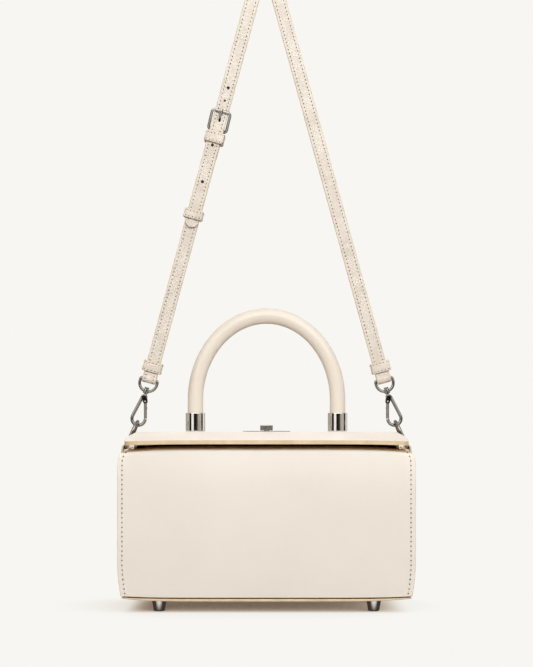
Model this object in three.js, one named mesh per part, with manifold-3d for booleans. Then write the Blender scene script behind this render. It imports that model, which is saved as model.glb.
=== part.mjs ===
// Box bag of smooth leather with a round top handle, a turn lock, four metal feet
// and a shoulder strap that hangs from above. Millimetres, +Z up, the front faces -Y.
// Heights are worked out from the floor under the feet. At the end everything is
// lowered so that the origin is where the strap hangs, under its highest point.
import * as THREE from "three";
import { mergeVertices } from "three/addons/utils/BufferGeometryUtils.js";
import Module from "manifold-3d";

// Driving sizes: body
const bodyWidth = 220;
const bodyDepth = 95;
const panelTop = 120.5;        // highest line of the front panel
const baseHeight = 8.5;        // underside of the base at its middle
const baseBow = 2.6;           // how far the underside of the base lifts at its ends
const bowPower = 6;            // only near the ends
const seamShare = 0.5;         // the seam above it lifts by this share
const wall = 2.4;              // leather of the panels
const seatGap = 0.3;           // clearance between pieces that touch
const rollRadius = 6;          // the top of the front panel rolls back
const rollTurn = 1.7;          // how far it rolls, radians
const panelCrown = 1.2;        // the front panel swells in its middle
const crestLean = 1.6;         // it leans back under its rolled top
const crestDown = 24;          // over this height
const panelRise = 2.8;         // the rolled top stands higher between the corners
const risePower = 6;
const shoulderIn = 8;          // upper corners of the body, inwards
const shoulderDown = 10;       // upper corners of the body, downwards
const heelIn = 3;              // lower corners of the body, inwards
const heelUp = 30;             // lower corners of the body, upwards
const gussetInset = 1;         // the gusset lies inside the panels' edges
const gussetSwell = 1;         // and swells a little in its middle
const neckIn = 2.6;            // the gusset's neck goes in above the shoulder
const neckFillet = 0.6;        // small turn where the neck leaves the shoulder
const neckFoot = 2.6;          // the neck is upright from here above the panel's top
const shoulderTurn = 0.94;     // share of a quarter turn that the shoulder makes
const backTop = 116;           // top edge of the back panel

// Driving sizes: lid
const lidTop = 133.5;
const lidThick = 3;
const lidFront = -52;          // front edge of the lid
const lidFall = 6;             // the front of the lid slopes down
const lidFallStart = -18;      // where the slope starts
const lidDroop = 1.2;          // the ends of the front edge hang lower
const droopPower = 6;
const earInset = 4.8;          // the lid's front corners lie inside the body's sides
const waistInset = 12;         // it is narrower beside the rings and behind
const lidEar = bodyWidth / 2 - earInset;
const lidHalf = bodyWidth / 2 - waistInset;
const lidCorner = 10;
const earEnd = -34;            // the lid starts to narrow here
const waistStart = -14;        // and is narrow from here
const foldRadius = 14;         // the lid's rear bend
const flapDrop = 20;           // the flap that is sewn to the back
const flapCorner = 8;

// Driving sizes: handle and its ferrules
const handleY = 4;
const handleHalf = 54.8;       // half the spacing of the legs
const handleDiameter = 11.9;
const handleRise = 64.8;       // height of the arch on its straight legs
const legTop = 24.6;           // legs are straight to here above the lid
const ferruleDiameter = 15.1;
const ferruleHeight = 14.4;
const ferruleFloor = 4;
const ferruleRim = 0.6;

// Driving sizes: turn lock
const lockY = -11.5;
const lockPlate = { width: 36, depth: 11, thick: 0.5, corner: 3 };
const lockKnob = { width: 9.6, depth: 4.6, height: 4.2, stem: 4, bevel: 0.5 };

// Driving sizes: feet
const footInset = { side: 30, end: 14.5 };
const footX = bodyWidth / 2 - footInset.side;
const footY = bodyDepth / 2 - footInset.end;
const footTopDiameter = 11.2;
const footLowDiameter = 8.6;
const footRound = 1.2;

// Driving sizes: strap and its way over the rail that it hangs on
const strapWidth = 10.8;
const strapThick = 2;
const strapLean = 0.267;       // lean of the strands, radians from upright
const railRadius = 8;          // what it hangs on, seen by its underside
const hookInset = 11.7;        // centre of the hooks' eyes, from the body's sides
const hookX = bodyWidth / 2 - hookInset;
const hookZ = 143.8;
const tongueEnd = 148;         // places along a strand, upwards from the hook's eye
const strapHole = 2.4;
const holeRows = [216.1, 261.6];
const prongHole = 238.1;
const shortTail = 207;

// Driving sizes: side rings and their tabs
const ringWire = 2.5;
const ringWidth = 17;          // between the middles of its two sides
const ringInset = 2;           // bar of a ring, from the body's sides
const ringBarX = bodyWidth / 2 - ringInset;
const ringBarZ = 121.3;
const ringCorner = 2.5;
const tabWidth = 12;
const tabThick = 1.4;
const tabLow = 100;
const tabEnd = [[-3.6, -0.2], [-5.2, 0.55]];   // its tail on the shoulder, from the ring's bar
const tabTurn = { from: -0.2, to: 0.35 };      // how far it wraps the bar past a half turn, radians
const tabLean = { out: 0.1, up: 4 };           // it starts to lean out under the bar

// Driving sizes: swivel hooks
const hookWire = 2.5;
const eyeRadius = 5.1;         // big end of the hook, to the wire's middle
const noseRadius = 1.6;        // small end
const eyeSpan = 16.5;          // between the centres of the two ends
const pinDiameter = 1.4;
const pinAcross = -1.6;
const pinUp = 14;
const gateThick = 2.2;
const gateBar = 2.2;
const gateEye = 1.75;
const thumbOut = 1.3;
const cheekThick = 0.8;
const postDiameter = 2.2;
const hubDiameter = 4.2;
const hubHeight = 3.6;
const headHeight = 1.1;
const headDiameter = 3.7;
const bowWire = 1.9;
const bowHalf = 6.7;
const bowBar = 31.4;           // the bar that the strap is folded round
const bowCorner = 1.4;

// Driving sizes: buckle and keepers
const buckleWire = 2.2;
const buckleWidth = 16.4;
const buckleLow = 227.5;
const buckleHigh = 244.1;
const buckleCorner = 2.2;
const prongWire = 1.6;
const prongPast = 1.6;         // the prong's tip passes the far bar
const slotWidth = 2.4;
const keeperThick = 1.5;
const keeperSlack = 0.5;
const keeperBend = 0.8;
const keeperEase = { end: 0.2, tongue: 0.1, buckle: 0.4 };   // room for the strands' slant
const keeperBuckle = { low: buckleLow - 9.2, high: buckleLow - 1.2 };
const keeperTongue = { low: 158.1, high: 165.1 };
const keeperEnd = { low: 36.9, high: 45.1 };
const tailEnd = 44;            // the folded tails end inside the end keepers
const foldEase = 6;            // straight leather each side of a fold round a bar
const tailEase = 8;            // the short strap's tail is straight from here behind the buckle
const foldSlot = { down: 3.4, up: 4.6 };   // prong's slot in the fold, from the lower bar
const tongueSlot = { down: 3, up: 2.4 };   // prong's slot in the tongue, from its hole

// Colours and finishes
const leather = { color: 0xefe4d8, roughness: 0.42, metalness: 0 };
const strapLeather = { color: 0xefe2d2, roughness: 0.55, metalness: 0 };
const nickel = { color: 0xb9b4ac, roughness: 0.12, metalness: 1 };
const gunmetal = { color: 0x8f877e, roughness: 0.2, metalness: 1 };

const wasm = await Module();
wasm.setup();

const bag = new THREE.Group();
const part = new THREE.Group();
bag.add(part);

const vec = (x, y, z) => new THREE.Vector3(x, y, z);
const lerp = THREE.MathUtils.lerp;
const range = (count) => Array.from({ length: count + 1 }, (_, i) => i / count);

function addPiece(name, geometry, finish) {
  const mesh = new THREE.Mesh(geometry, new THREE.MeshStandardMaterial(finish));
  mesh.name = name;
  part.add(mesh);
  return mesh;
}

// A closed mesh from points and triangles, turned so that it faces outwards
function closedMesh(points, triangles) {
  let volume = 0;
  for (const [a, b, c] of triangles) {
    volume += points[a].dot(points[b].clone().cross(points[c]));
  }
  const faces = volume < 0 ? triangles.map(([a, b, c]) => [a, c, b]) : triangles;
  const geometry = new THREE.BufferGeometry();
  geometry.setAttribute("position", new THREE.Float32BufferAttribute(points.flatMap((p) => p.toArray()), 3));
  geometry.setIndex(faces.flat());
  geometry.computeVertexNormals();
  return geometry;
}

// A wall between two surfaces that are given at the same shares
function wallSolid(across, along, outer, inner) {
  const points = [];
  const triangles = [];
  for (const side of [outer, inner]) {
    for (const v of along) {
      for (const u of across) points.push(side(u, v));
    }
  }
  const columns = across.length;
  const rows = along.length;
  const at = (layer, i, j) => layer * columns * rows + j * columns + i;
  const quad = (a, b, c, d) => triangles.push([a, b, c], [a, c, d]);
  for (let j = 0; j + 1 < rows; j++) {
    for (let i = 0; i + 1 < columns; i++) {
      quad(at(0, i, j), at(0, i + 1, j), at(0, i + 1, j + 1), at(0, i, j + 1));
      quad(at(1, i, j), at(1, i, j + 1), at(1, i + 1, j + 1), at(1, i + 1, j));
    }
    quad(at(0, 0, j), at(0, 0, j + 1), at(1, 0, j + 1), at(1, 0, j));
    quad(at(0, columns - 1, j), at(1, columns - 1, j), at(1, columns - 1, j + 1), at(0, columns - 1, j + 1));
  }
  for (let i = 0; i + 1 < columns; i++) {
    quad(at(0, i, 0), at(1, i, 0), at(1, i + 1, 0), at(0, i + 1, 0));
    quad(at(0, i, rows - 1), at(0, i + 1, rows - 1), at(1, i + 1, rows - 1), at(1, i, rows - 1));
  }
  return closedMesh(points, triangles);
}

// A skin over a row of sections, joined end to end or capped
function loft(sections, joined = false) {
  const sides = sections[0].length;
  const points = sections.flat();
  const triangles = [];
  const last = joined ? sections.length : sections.length - 1;
  for (let j = 0; j < last; j++) {
    const next = (j + 1) % sections.length;
    for (let i = 0; i < sides; i++) {
      const k = (i + 1) % sides;
      triangles.push([j * sides + i, j * sides + k, next * sides + k]);
      triangles.push([j * sides + i, next * sides + k, next * sides + i]);
    }
  }
  if (!joined) {
    for (const [section, turned] of [[0, true], [sections.length - 1, false]]) {
      const middle = points.length;
      points.push(sections[section].reduce((sum, p) => sum.add(p), vec(0, 0, 0)).divideScalar(sides));
      for (let i = 0; i < sides; i++) {
        const a = section * sides + i;
        const b = section * sides + ((i + 1) % sides);
        triangles.push(turned ? [middle, b, a] : [middle, a, b]);
      }
    }
  }
  return closedMesh(points, triangles);
}

// Round wire along a flat path; level is the direction square to the path's plane
function wire(path, diameter, level, { joined = false, sides = 8 } = {}) {
  const sections = path.map((point, i) => {
    const count = path.length;
    const before = joined ? path[(i + count - 1) % count] : path[Math.max(i - 1, 0)];
    const after = joined ? path[(i + 1) % count] : path[Math.min(i + 1, count - 1)];
    const ahead = after.clone().sub(before).normalize();
    const out = ahead.clone().cross(level).normalize();
    return range(sides).slice(0, -1).map((share) => {
      const turn = (share + 0.5 / sides) * 2 * Math.PI;
      return point.clone()
        .addScaledVector(out, (diameter / 2) * Math.cos(turn))
        .addScaledVector(level, (diameter / 2) * Math.sin(turn));
    });
  });
  return loft(sections, joined);
}

// Flat ribbon along a path in one plane; level is the direction of its width
function ribbon(path, level, width, thick) {
  const half = width / 2;
  const sections = path.map((point, i) => {
    const ahead = path[Math.min(i + 1, path.length - 1)].clone().sub(path[Math.max(i - 1, 0)]).normalize();
    const out = ahead.clone().cross(level).normalize();
    return [[-1, -1], [1, -1], [1, 1], [-1, 1]].map(([w, t]) => point.clone()
      .addScaledVector(level, w * half)
      .addScaledVector(out, (t * thick) / 2));
  });
  return loft(sections);
}

// Points of an arc as pairs
function arc(cx, cy, radius, from, to, steps) {
  return range(steps).map((s) => {
    const turn = lerp(from, to, s);
    return [cx + radius * Math.cos(turn), cy + radius * Math.sin(turn)];
  });
}

function toSolid(geometry) {
  const bare = geometry.clone();
  bare.deleteAttribute("normal");
  if (bare.getAttribute("uv")) bare.deleteAttribute("uv");
  const merged = mergeVertices(bare.index ? bare.toNonIndexed() : bare, 1e-4);
  return new wasm.Manifold(new wasm.Mesh({
    numProp: 3,
    vertProperties: new Float32Array(merged.getAttribute("position").array),
    triVerts: new Uint32Array(merged.index.array),
  }));
}

function fromSolid(solid) {
  const mesh = solid.getMesh();
  const geometry = new THREE.BufferGeometry();
  geometry.setAttribute("position", new THREE.BufferAttribute(new Float32Array(mesh.vertProperties), 3));
  geometry.setIndex(new THREE.BufferAttribute(new Uint32Array(mesh.triVerts), 1));
  geometry.computeVertexNormals();
  return geometry;
}

const joinAll = (list) => fromSolid(list.map(toSolid).reduce((a, b) => a.add(b)));
const cutAll = (whole, cutters) =>
  fromSolid(cutters.map(toSolid).reduce((a, b) => a.subtract(b), toSolid(whole)));

// Body outline seen from the front
const baseTop = baseHeight + wall;
const panelLow = baseTop + seatGap;
const bowAt = (x) => baseBow * (Math.abs(x) / (bodyWidth / 2)) ** bowPower;

// How far the panels' lower edge lifts at a place; the lift fades out up the panel
const seamLift = (x, z) => seamShare * bowAt(x) * Math.max(0, 1 - (z - panelLow) / heelUp);

function halfWidthAt(z, inset = 0) {
  const shoulder = Math.max(0, Math.min(1, (z - (panelTop - shoulderDown)) / shoulderDown));
  const heel = Math.max(0, Math.min(1, (baseHeight + heelUp - z) / heelUp));
  const drawn = shoulderIn * (1 - Math.sqrt(1 - shoulder * shoulder)) + heelIn * heel * heel;
  return bodyWidth / 2 - inset - drawn;
}

// Front panel: flat, leaning back a little and then rolled back at its top
const crestTurn = Math.atan((2 * crestLean) / crestDown);
const rollY = -bodyDepth / 2 + crestLean + rollRadius * Math.cos(crestTurn);
const rollZ = panelTop - rollRadius;
const crestZ = rollZ + rollRadius * Math.sin(crestTurn);
const crestShare = (z) => Math.max(0, Math.min(1, (z - crestZ + crestDown) / crestDown));

function panelProfile(v) {
  const straight = crestZ - panelLow;
  const way = v * (straight + rollRadius * (rollTurn - crestTurn));
  if (way <= straight) {
    const share = crestShare(panelLow + way);
    return {
      y: -bodyDepth / 2 + crestLean * share * share,
      z: panelLow + way,
      turn: Math.atan((2 * crestLean * share) / crestDown),
    };
  }
  const turn = crestTurn + (way - straight) / rollRadius;
  return { y: rollY - rollRadius * Math.cos(turn), z: rollZ + rollRadius * Math.sin(turn), turn };
}

function frontSurface(depth) {
  return (u, v) => {
    const { y, z, turn } = panelProfile(v);
    const x = u * halfWidthAt(Math.min(z, panelTop));
    const rise = Math.min(1, (z - panelLow) / (panelTop - panelLow));
    const crown = panelCrown * (1 - u * u) * Math.sin(Math.PI * rise);
    const lift = seamLift(x, z) + panelRise * (1 - u ** risePower) * rise;
    return vec(x, y - crown + depth * Math.cos(turn), z + lift - depth * Math.sin(turn));
  };
}

function makePanels() {
  const across = [-1, -0.95, -0.9, -0.8, -0.6, -0.3, 0, 0.3, 0.6, 0.8, 0.9, 0.95, 1];
  const up = [0, 0.05, 0.11, 0.2, 0.3, 0.5, 0.7, 0.78, 0.85, 0.917, 0.933, 0.95, 0.967, 0.984, 1];
  addPiece("front_panel", wallSolid(across, up, frontSurface(0), frontSurface(wall)), leather);

  const backSurface = (depth) => (u, v) => {
    const z = lerp(panelLow, backTop, v);
    const x = u * halfWidthAt(z);
    return vec(x, bodyDepth / 2 - depth, z + seamLift(x, z));
  };
  const backUp = [0, 0.08, 0.16, 0.26, 0.5, 0.9, 0.95, 1];
  addPiece("back_panel", wallSolid(across, backUp, backSurface(0), backSurface(wall)), leather);

  const half = halfWidthAt(baseHeight);
  const baseSurface = (height, share) => (u, v) =>
    vec(u * half, (v - 0.5) * bodyDepth, height + share * bowAt(u * half));
  const baseAcross = [-1, -0.95, -0.9, -0.8, -0.65, -0.4, 0, 0.4, 0.65, 0.8, 0.9, 0.95, 1];
  const upper = baseSurface(baseTop, seamShare);
  const under = baseSurface(baseHeight, 1);
  addPiece("base_panel", wallSolid(baseAcross, [0, 0.5, 1], upper, under), leather);
}

// Lid: the height and half width of its top at a distance from the front
const foldY = bodyDepth / 2 + seatGap + lidThick - foldRadius;
function lidSlope(y) {
  const share = (lidFallStart - y) / (lidFallStart - lidFront);
  return Math.sin((Math.PI / 2) * Math.max(0, Math.min(1, share)));
}

function lidUnder(y) {
  if (y <= foldY) return lidTop - lidThick - (lidFall + lidDroop) * lidSlope(y);
  const reach = foldRadius - lidThick;
  return lidTop - foldRadius + Math.sqrt(Math.max(0, reach * reach - (y - foldY) ** 2));
}

function lidRows() {
  const rows = [];
  for (const s of range(5)) {
    const turn = (s * Math.PI) / 2;
    const half = lidEar - lidCorner + lidCorner * Math.sin(turn);
    rows.push({ y: lidFront + lidCorner * (1 - Math.cos(turn)), half });
  }
  for (const s of range(6)) {
    const ease = (1 - Math.cos(Math.PI * s)) / 2;
    rows.push({ y: lerp(earEnd, waistStart, s), half: lerp(lidEar, lidHalf, ease) });
  }
  rows.push({ y: (waistStart + foldY) / 2, half: lidHalf });
  const flat = rows.map((row) => {
    const lean = (lidSlope(row.y + 0.5) - lidSlope(row.y - 0.5)) * lidFall;
    return { ...row, z: lidTop - lidFall * lidSlope(row.y), turn: Math.atan(lean), droop: lidSlope(row.y) };
  });
  for (const s of range(5)) {
    const turn = (s * Math.PI) / 2;
    flat.push({
      y: foldY + foldRadius * Math.sin(turn),
      z: lidTop - foldRadius * (1 - Math.cos(turn)),
      half: lidHalf,
      turn,
      droop: 0,
    });
  }
  const flapLow = lidTop - foldRadius - flapDrop;
  for (const s of range(4)) {
    const turn = (s * Math.PI) / 2;
    flat.push({
      y: foldY + foldRadius,
      z: flapLow + flapCorner * (1 - Math.sin(turn)),
      half: lidHalf - flapCorner * (1 - Math.cos(turn)),
      turn: Math.PI / 2,
      droop: 0,
    });
  }
  return flat;
}

function makeLid() {
  const rows = lidRows();
  const across = [-1, -0.93, -0.8, -0.5, -0.2, 0.2, 0.5, 0.8, 0.93, 1];
  const surface = (depth) => (u, index) => {
    const row = rows[index];
    const x = u * row.half;
    const droop = lidDroop * (x / lidEar) ** droopPower * row.droop;
    return vec(x, row.y - depth * Math.sin(row.turn), row.z - droop - depth * Math.cos(row.turn));
  };
  addPiece("lid", wallSolid(across, rows.map((_, i) => i), surface(0), surface(lidThick)), leather);
}

// Gussets: up the sides, in over the shoulder and up to the lid as a neck
function gussetOutline() {
  const rows = [];
  const half = (z) => halfWidthAt(z, gussetInset);
  for (const s of [0, 0.35, 0.7, 1]) {
    const z = lerp(panelLow, baseHeight + heelUp, s);
    rows.push({ x: half(z), z, neck: 0 });
  }
  rows.push({ x: half(panelTop / 2), z: panelTop / 2, neck: 0 });
  for (const s of range(5)) {
    const turn = shoulderTurn * (s * Math.PI) / 2;
    rows.push({
      x: half(panelTop / 2) - shoulderIn * (1 - Math.cos(turn)),
      z: panelTop - shoulderDown + (shoulderDown - gussetInset) * Math.sin(turn),
      neck: 0,
    });
  }
  const neckX = half(panelTop) - neckIn;
  rows.push({ x: neckX + neckFillet, z: panelTop + neckFillet, neck: 0 });
  rows.push({ x: neckX, z: panelTop + neckFoot, neck: 0 });
  rows.push({ x: neckX, z: panelTop + neckFoot, neck: 1 });
  return rows;
}

// The gusset's front edge follows the inside of the rolled panel and passes behind its end
function gussetEdges(z) {
  const reach = rollRadius - wall - 2 * seatGap;
  const over = Math.max(0, z - rollZ);
  const back = bodyDepth / 2 - wall - seatGap;
  if (over > reach * 0.85) return { front: rollY - rollRadius * Math.cos(rollTurn) + seatGap, back };
  if (z > crestZ) return { front: rollY - Math.sqrt(reach * reach - over * over), back };
  return { front: -bodyDepth / 2 + crestLean * crestShare(z) ** 2 + wall + 2 * seatGap, back };
}

function makeGussets() {
  const outline = gussetOutline();
  const leans = outline.map((row, i) => {
    const before = outline[Math.max(i - 1, 0)];
    const after = outline[Math.min(i + 1, outline.length - 1)];
    if (row.neck || i >= outline.length - 2) return 0;
    return Math.atan2(before.x - after.x, after.z - before.z);
  });
  for (const side of [-1, 1]) {
    const surface = (depth) => (u, index) => {
      const row = outline[index];
      const { front, back } = gussetEdges(row.z);
      const y = lerp(front, back, u);
      const swell = gussetSwell * Math.sin(Math.PI * u) * (row.z < panelTop ? 1 : 0);
      const lift = seamLift(row.x, row.z);
      const top = row.neck ? lidUnder(y) - seatGap - row.z : 0;
      const lean = leans[index];
      const x = row.x + (swell - depth) * Math.cos(lean);
      return vec(side * x, y, row.z + lift + top - (depth - swell) * Math.sin(lean));
    };
    const name = side < 0 ? "gusset_left" : "gusset_right";
    const rows = outline.map((_, i) => i);
    addPiece(name, wallSolid(range(8), rows, surface(0), surface(wall - 0.2)), leather);
  }
}

// Handle: a round arch whose legs stand in the ferrules
function makeHandle() {
  const legFoot = lidTop + seatGap + ferruleFloor + seatGap;
  const springing = lidTop + legTop;
  const level = vec(0, 1, 0);
  const path = [vec(-handleHalf, handleY, legFoot), vec(-handleHalf, handleY, (legFoot + springing) / 2)];
  for (const s of range(24)) {
    const turn = Math.PI * (1 - s);
    path.push(vec(handleHalf * Math.cos(turn), handleY, springing + handleRise * Math.sin(turn)));
  }
  path.push(vec(handleHalf, handleY, (legFoot + springing) / 2), vec(handleHalf, handleY, legFoot));
  addPiece("handle", wire(path, handleDiameter, level, { sides: 12 }), leather);

  const outer = ferruleDiameter / 2;
  const bore = handleDiameter / 2 + seatGap;
  const profile = [
    [0, 0], [outer - ferruleRim / 2, 0], [outer, ferruleRim / 2], [outer, ferruleHeight - ferruleRim / 2],
    [outer - ferruleRim / 2, ferruleHeight], [bore, ferruleHeight], [bore, ferruleFloor], [0, ferruleFloor],
  ].map(([r, h]) => new THREE.Vector2(r, h));
  for (const side of [-1, 1]) {
    const ferrule = addPiece(side < 0 ? "ferrule_left" : "ferrule_right", lathe(profile, 24), nickel);
    ferrule.position.set(side * handleHalf, handleY, lidTop + seatGap);
  }
}

// A lathe whose axis is upright
function lathe(profile, sides) {
  const turned = new THREE.LatheGeometry(profile, sides);
  turned.rotateX(Math.PI / 2);
  const bare = turned.clone();
  bare.deleteAttribute("normal");
  bare.deleteAttribute("uv");
  return fromSolid(toSolid(mergeVertices(bare, 1e-4)));
}

// Turn lock: a thin plate with a round hole, and a knob whose stem turns in it
function makeLock() {
  const { width, depth, thick, corner } = lockPlate;
  const plate = roundedRectangle(width, depth, corner);
  plate.holes.push(new THREE.Path().absarc(0, 0, lockKnob.stem / 2 + seatGap, 0, 2 * Math.PI, true));
  const cutPlate = new THREE.ExtrudeGeometry(plate, { depth: thick, bevelEnabled: false, curveSegments: 6 });
  addPiece("lock_plate", cutPlate, gunmetal).position.set(0, lockY, lidTop + seatGap);

  const knobLow = thick + seatGap;
  const bevel = lockKnob.bevel;
  const top = roundedRectangle(lockKnob.width - 2 * bevel, lockKnob.depth - 2 * bevel, bevel);
  const block = new THREE.ExtrudeGeometry(top, {
    depth: lockKnob.height - 2 * bevel,
    bevelThickness: bevel,
    bevelSize: bevel,
    bevelSegments: 2,
    curveSegments: 3,
  });
  block.translate(0, 0, knobLow + bevel);
  const stemLength = knobLow + 2 * bevel;
  const stem = new THREE.CylinderGeometry(lockKnob.stem / 2, lockKnob.stem / 2, stemLength, 16);
  stem.rotateX(Math.PI / 2);
  stem.translate(0, 0, stemLength / 2);
  addPiece("lock_knob", joinAll([block, stem]), gunmetal).position.set(0, lockY, lidTop + seatGap);
}

function roundedRectangle(width, depth, corner) {
  const shape = new THREE.Shape();
  const x = width / 2 - corner;
  const y = depth / 2 - corner;
  shape.absarc(x, y, corner, 0, Math.PI / 2);
  shape.absarc(-x, y, corner, Math.PI / 2, Math.PI);
  shape.absarc(-x, -y, corner, Math.PI, 1.5 * Math.PI);
  shape.absarc(x, -y, corner, 1.5 * Math.PI, 2 * Math.PI);
  return shape;
}

// Feet: tapered studs with a rounded lower edge, under the base
function makeFeet() {
  const high = baseHeight + bowAt(footX - footTopDiameter / 2) - seatGap;
  const low = footLowDiameter / 2;
  const profile = [new THREE.Vector2(0, 0)];
  for (const [r, h] of arc(low - footRound, footRound, footRound, -Math.PI / 2, 0, 3)) {
    profile.push(new THREE.Vector2(r, h));
  }
  profile.push(new THREE.Vector2(footTopDiameter / 2, high), new THREE.Vector2(0, high));
  for (const [sideName, x] of [["left", -footX], ["right", footX]]) {
    for (const [endName, y] of [["front", -footY], ["rear", footY]]) {
      addPiece(`foot_${endName}_${sideName}`, lathe(profile, 16), nickel).position.set(x, y, 0);
    }
  }
}

// A strand's own directions: up along it, and outwards across it
function strandFrame(side) {
  const up = vec(-side * Math.sin(strapLean), 0, Math.cos(strapLean));
  const out = vec(side * Math.cos(strapLean), 0, Math.sin(strapLean));
  const eye = vec(side * hookX, 0, hookZ);
  const at = (along, across = 0, y = 0) => eye.clone()
    .addScaledVector(up, along)
    .addScaledVector(out, across)
    .add(vec(0, y, 0));
  return { up, out, at };
}

// Side rings: D-shaped, held by their bar in a leather tab on the shoulder
const ringSeat = -(eyeRadius - hookWire / 2) + ringWire / 2 + seatGap;

function makeRings() {
  for (const side of [-1, 1]) {
    const name = side < 0 ? "left" : "right";
    const top = strandFrame(side).at(ringSeat);
    const low = vec(side * ringBarX, 0, ringBarZ);
    const rise = top.clone().sub(low);
    const height = rise.length();
    rise.normalize();
    const half = ringWidth / 2;
    const outline = [
      ...arc(0, height - half, half, 0, Math.PI, 12),
      ...arc(-half + ringCorner, ringCorner, ringCorner, Math.PI, 1.5 * Math.PI, 3),
      ...arc(half - ringCorner, ringCorner, ringCorner, 1.5 * Math.PI, 2 * Math.PI, 3),
    ];
    const path = outline.map(([y, up]) => low.clone().addScaledVector(rise, up).add(vec(0, y, 0)));
    const level = rise.clone().cross(vec(0, 1, 0)).normalize();
    addPiece(`ring_${name}`, wire(path, ringWire, level, { joined: true }), nickel);

    const reach = ringWire / 2 + seatGap + tabThick / 2;
    const stand = seatGap + tabThick / 2 + gussetSwell;
    const flank = halfWidthAt(panelTop / 2, gussetInset) + stand;
    const route = [
      [flank, tabLow],
      [flank, (tabLow + panelTop - shoulderDown) / 2],
      [flank, panelTop - shoulderDown],
      [flank + tabLean.out, panelTop - shoulderDown + tabLean.up],
      ...arc(ringBarX, ringBarZ, reach, tabTurn.from, Math.PI + tabTurn.to, 8),
      ...tabEnd.map(([across, up]) => [ringBarX + across, ringBarZ + up]),
    ];
    const points = route.map(([x, z]) => vec(side * x, 0, z));
    addPiece(`ring_tab_${name}`, ribbon(points, vec(0, 1, 0), tabWidth, tabThick), leather);
  }
}

// Swivel hooks: bow, hook with its post and pin, and gate
function flatPlate(outline, thick) {
  const shape = new THREE.Shape(outline.map(([x, y]) => new THREE.Vector2(x, y)));
  return new THREE.ExtrudeGeometry(shape, { depth: thick, bevelEnabled: false, curveSegments: 6 });
}

// Lays a flat plate in the plane of a strand, its thickness centred on a place front to back
function placeOnStrand(geometry, side, thick, middle) {
  const { up, out, at } = strandFrame(side);
  const depth = out.clone().cross(up);
  const start = middle - (depth.y * thick) / 2;
  return geometry.applyMatrix4(new THREE.Matrix4().makeBasis(out, up, depth).setPosition(at(0, 0, start)));
}

// A round bar between two places
function rodBetween(from, to, diameter, sides = 12) {
  const way = to.clone().sub(from);
  const bar = new THREE.CylinderGeometry(diameter / 2, diameter / 2, way.length(), sides);
  bar.applyQuaternion(new THREE.Quaternion().setFromUnitVectors(vec(0, 1, 0), way.normalize()));
  const middle = from.clone().lerp(to, 0.5);
  bar.translate(middle.x, middle.y, middle.z);
  return bar;
}

function rod(side, from, to, diameter, sides) {
  const { at } = strandFrame(side);
  return rodBetween(at(from), at(to), diameter, sides);
}

// A round bar from front to back
function crossRod(place, diameter, length) {
  const bar = new THREE.CylinderGeometry(diameter / 2, diameter / 2, length, 12);
  bar.translate(place.x, place.y, place.z);
  return bar;
}

function makeHooks() {
  const level = vec(0, 1, 0);
  const slant = Math.asin((eyeRadius - noseRadius) / eyeSpan);
  const apex = eyeSpan + noseRadius + hookWire / 2;
  const hubLow = apex + 2 * seatGap;
  const hubHigh = hubLow + hubHeight;
  for (const side of [-1, 1]) {
    const name = side < 0 ? "left" : "right";
    const { at } = strandFrame(side);
    const trace = [
      ...arc(0, eyeSpan, noseRadius, Math.PI * 0.8, slant, 6),
      ...arc(0, 0, eyeRadius, slant, -Math.PI, 14),
    ];
    const hookPath = trace.map(([across, along]) => at(along, across));
    const hookBody = wire(hookPath, hookWire, level);

    const cheekLow = gateThick / 2 + seatGap;
    const cheekOutline = [
      ...arc(pinAcross, pinUp, gateEye, Math.PI * 0.95, Math.PI * 1.75, 6),
      ...arc(0, eyeSpan, noseRadius + 0.6, 0, Math.PI * 0.85, 6),
    ];
    const cheeks = [-1, 1].map((face) => {
      const plate = flatPlate(cheekOutline, cheekThick);
      return placeOnStrand(plate, side, cheekThick, face * (cheekLow + cheekThick / 2));
    });
    const pinLength = 2 * (cheekLow + cheekThick);
    const pinAt = at(pinUp, pinAcross);
    const pin = crossRod(pinAt, pinDiameter, pinLength + 0.4);
    const boss = crossRod(at(eyeSpan + noseRadius, 0), hookWire - 0.2, pinLength - 0.4);
    const post = rod(side, apex - hookWire / 2, hubHigh + seatGap + headHeight / 2, postDiameter);
    const head = rod(side, hubHigh + seatGap, hubHigh + seatGap + headHeight, headDiameter);
    addPiece(`hook_${name}`, joinAll([hookBody, boss, ...cheeks, pin, post, head]), gunmetal);

    const tip = at(eyeRadius * Math.sin(slant) + 0.9, -eyeRadius * Math.cos(slant));
    const shaft = rodBetween(tip, pinAt, gateBar);
    const eye = crossRod(pinAt, 2 * gateEye, gateThick);
    const bore = crossRod(pinAt, pinDiameter + 2 * seatGap, 2 * gateThick);
    const thumbFoot = tip.clone().lerp(pinAt, 0.62);
    const thumbTip = thumbFoot.clone().add(at(0.6, -thumbOut).sub(at(0)));
    const thumb = rodBetween(thumbFoot, thumbTip, gateBar * 0.8);
    addPiece(`gate_${name}`, cutAll(joinAll([shaft, eye, thumb]), [bore]), nickel);

    const dip = hubLow + hubHeight / 2;
    const straight = dip + bowHalf;
    const bowTrace = [
      ...arc(0, straight, bowHalf, Math.PI, 2 * Math.PI, 12),
      ...arc(bowHalf - bowCorner, bowBar - bowCorner, bowCorner, 0, Math.PI / 2, 3),
      ...arc(-bowHalf + bowCorner, bowBar - bowCorner, bowCorner, Math.PI / 2, Math.PI, 3),
    ];
    const bowPath = bowTrace.map(([across, along]) => at(along, across));
    const bowLoop = wire(bowPath, bowWire, level, { joined: true });
    const hub = rod(side, hubLow, hubHigh, hubDiameter, 16);
    const postWay = rod(side, hubLow - 1, hubHigh + 1, postDiameter + 2 * seatGap);
    addPiece(`bow_${name}`, cutAll(joinAll([bowLoop, hub]), [postWay]), nickel);
  }
}

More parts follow.
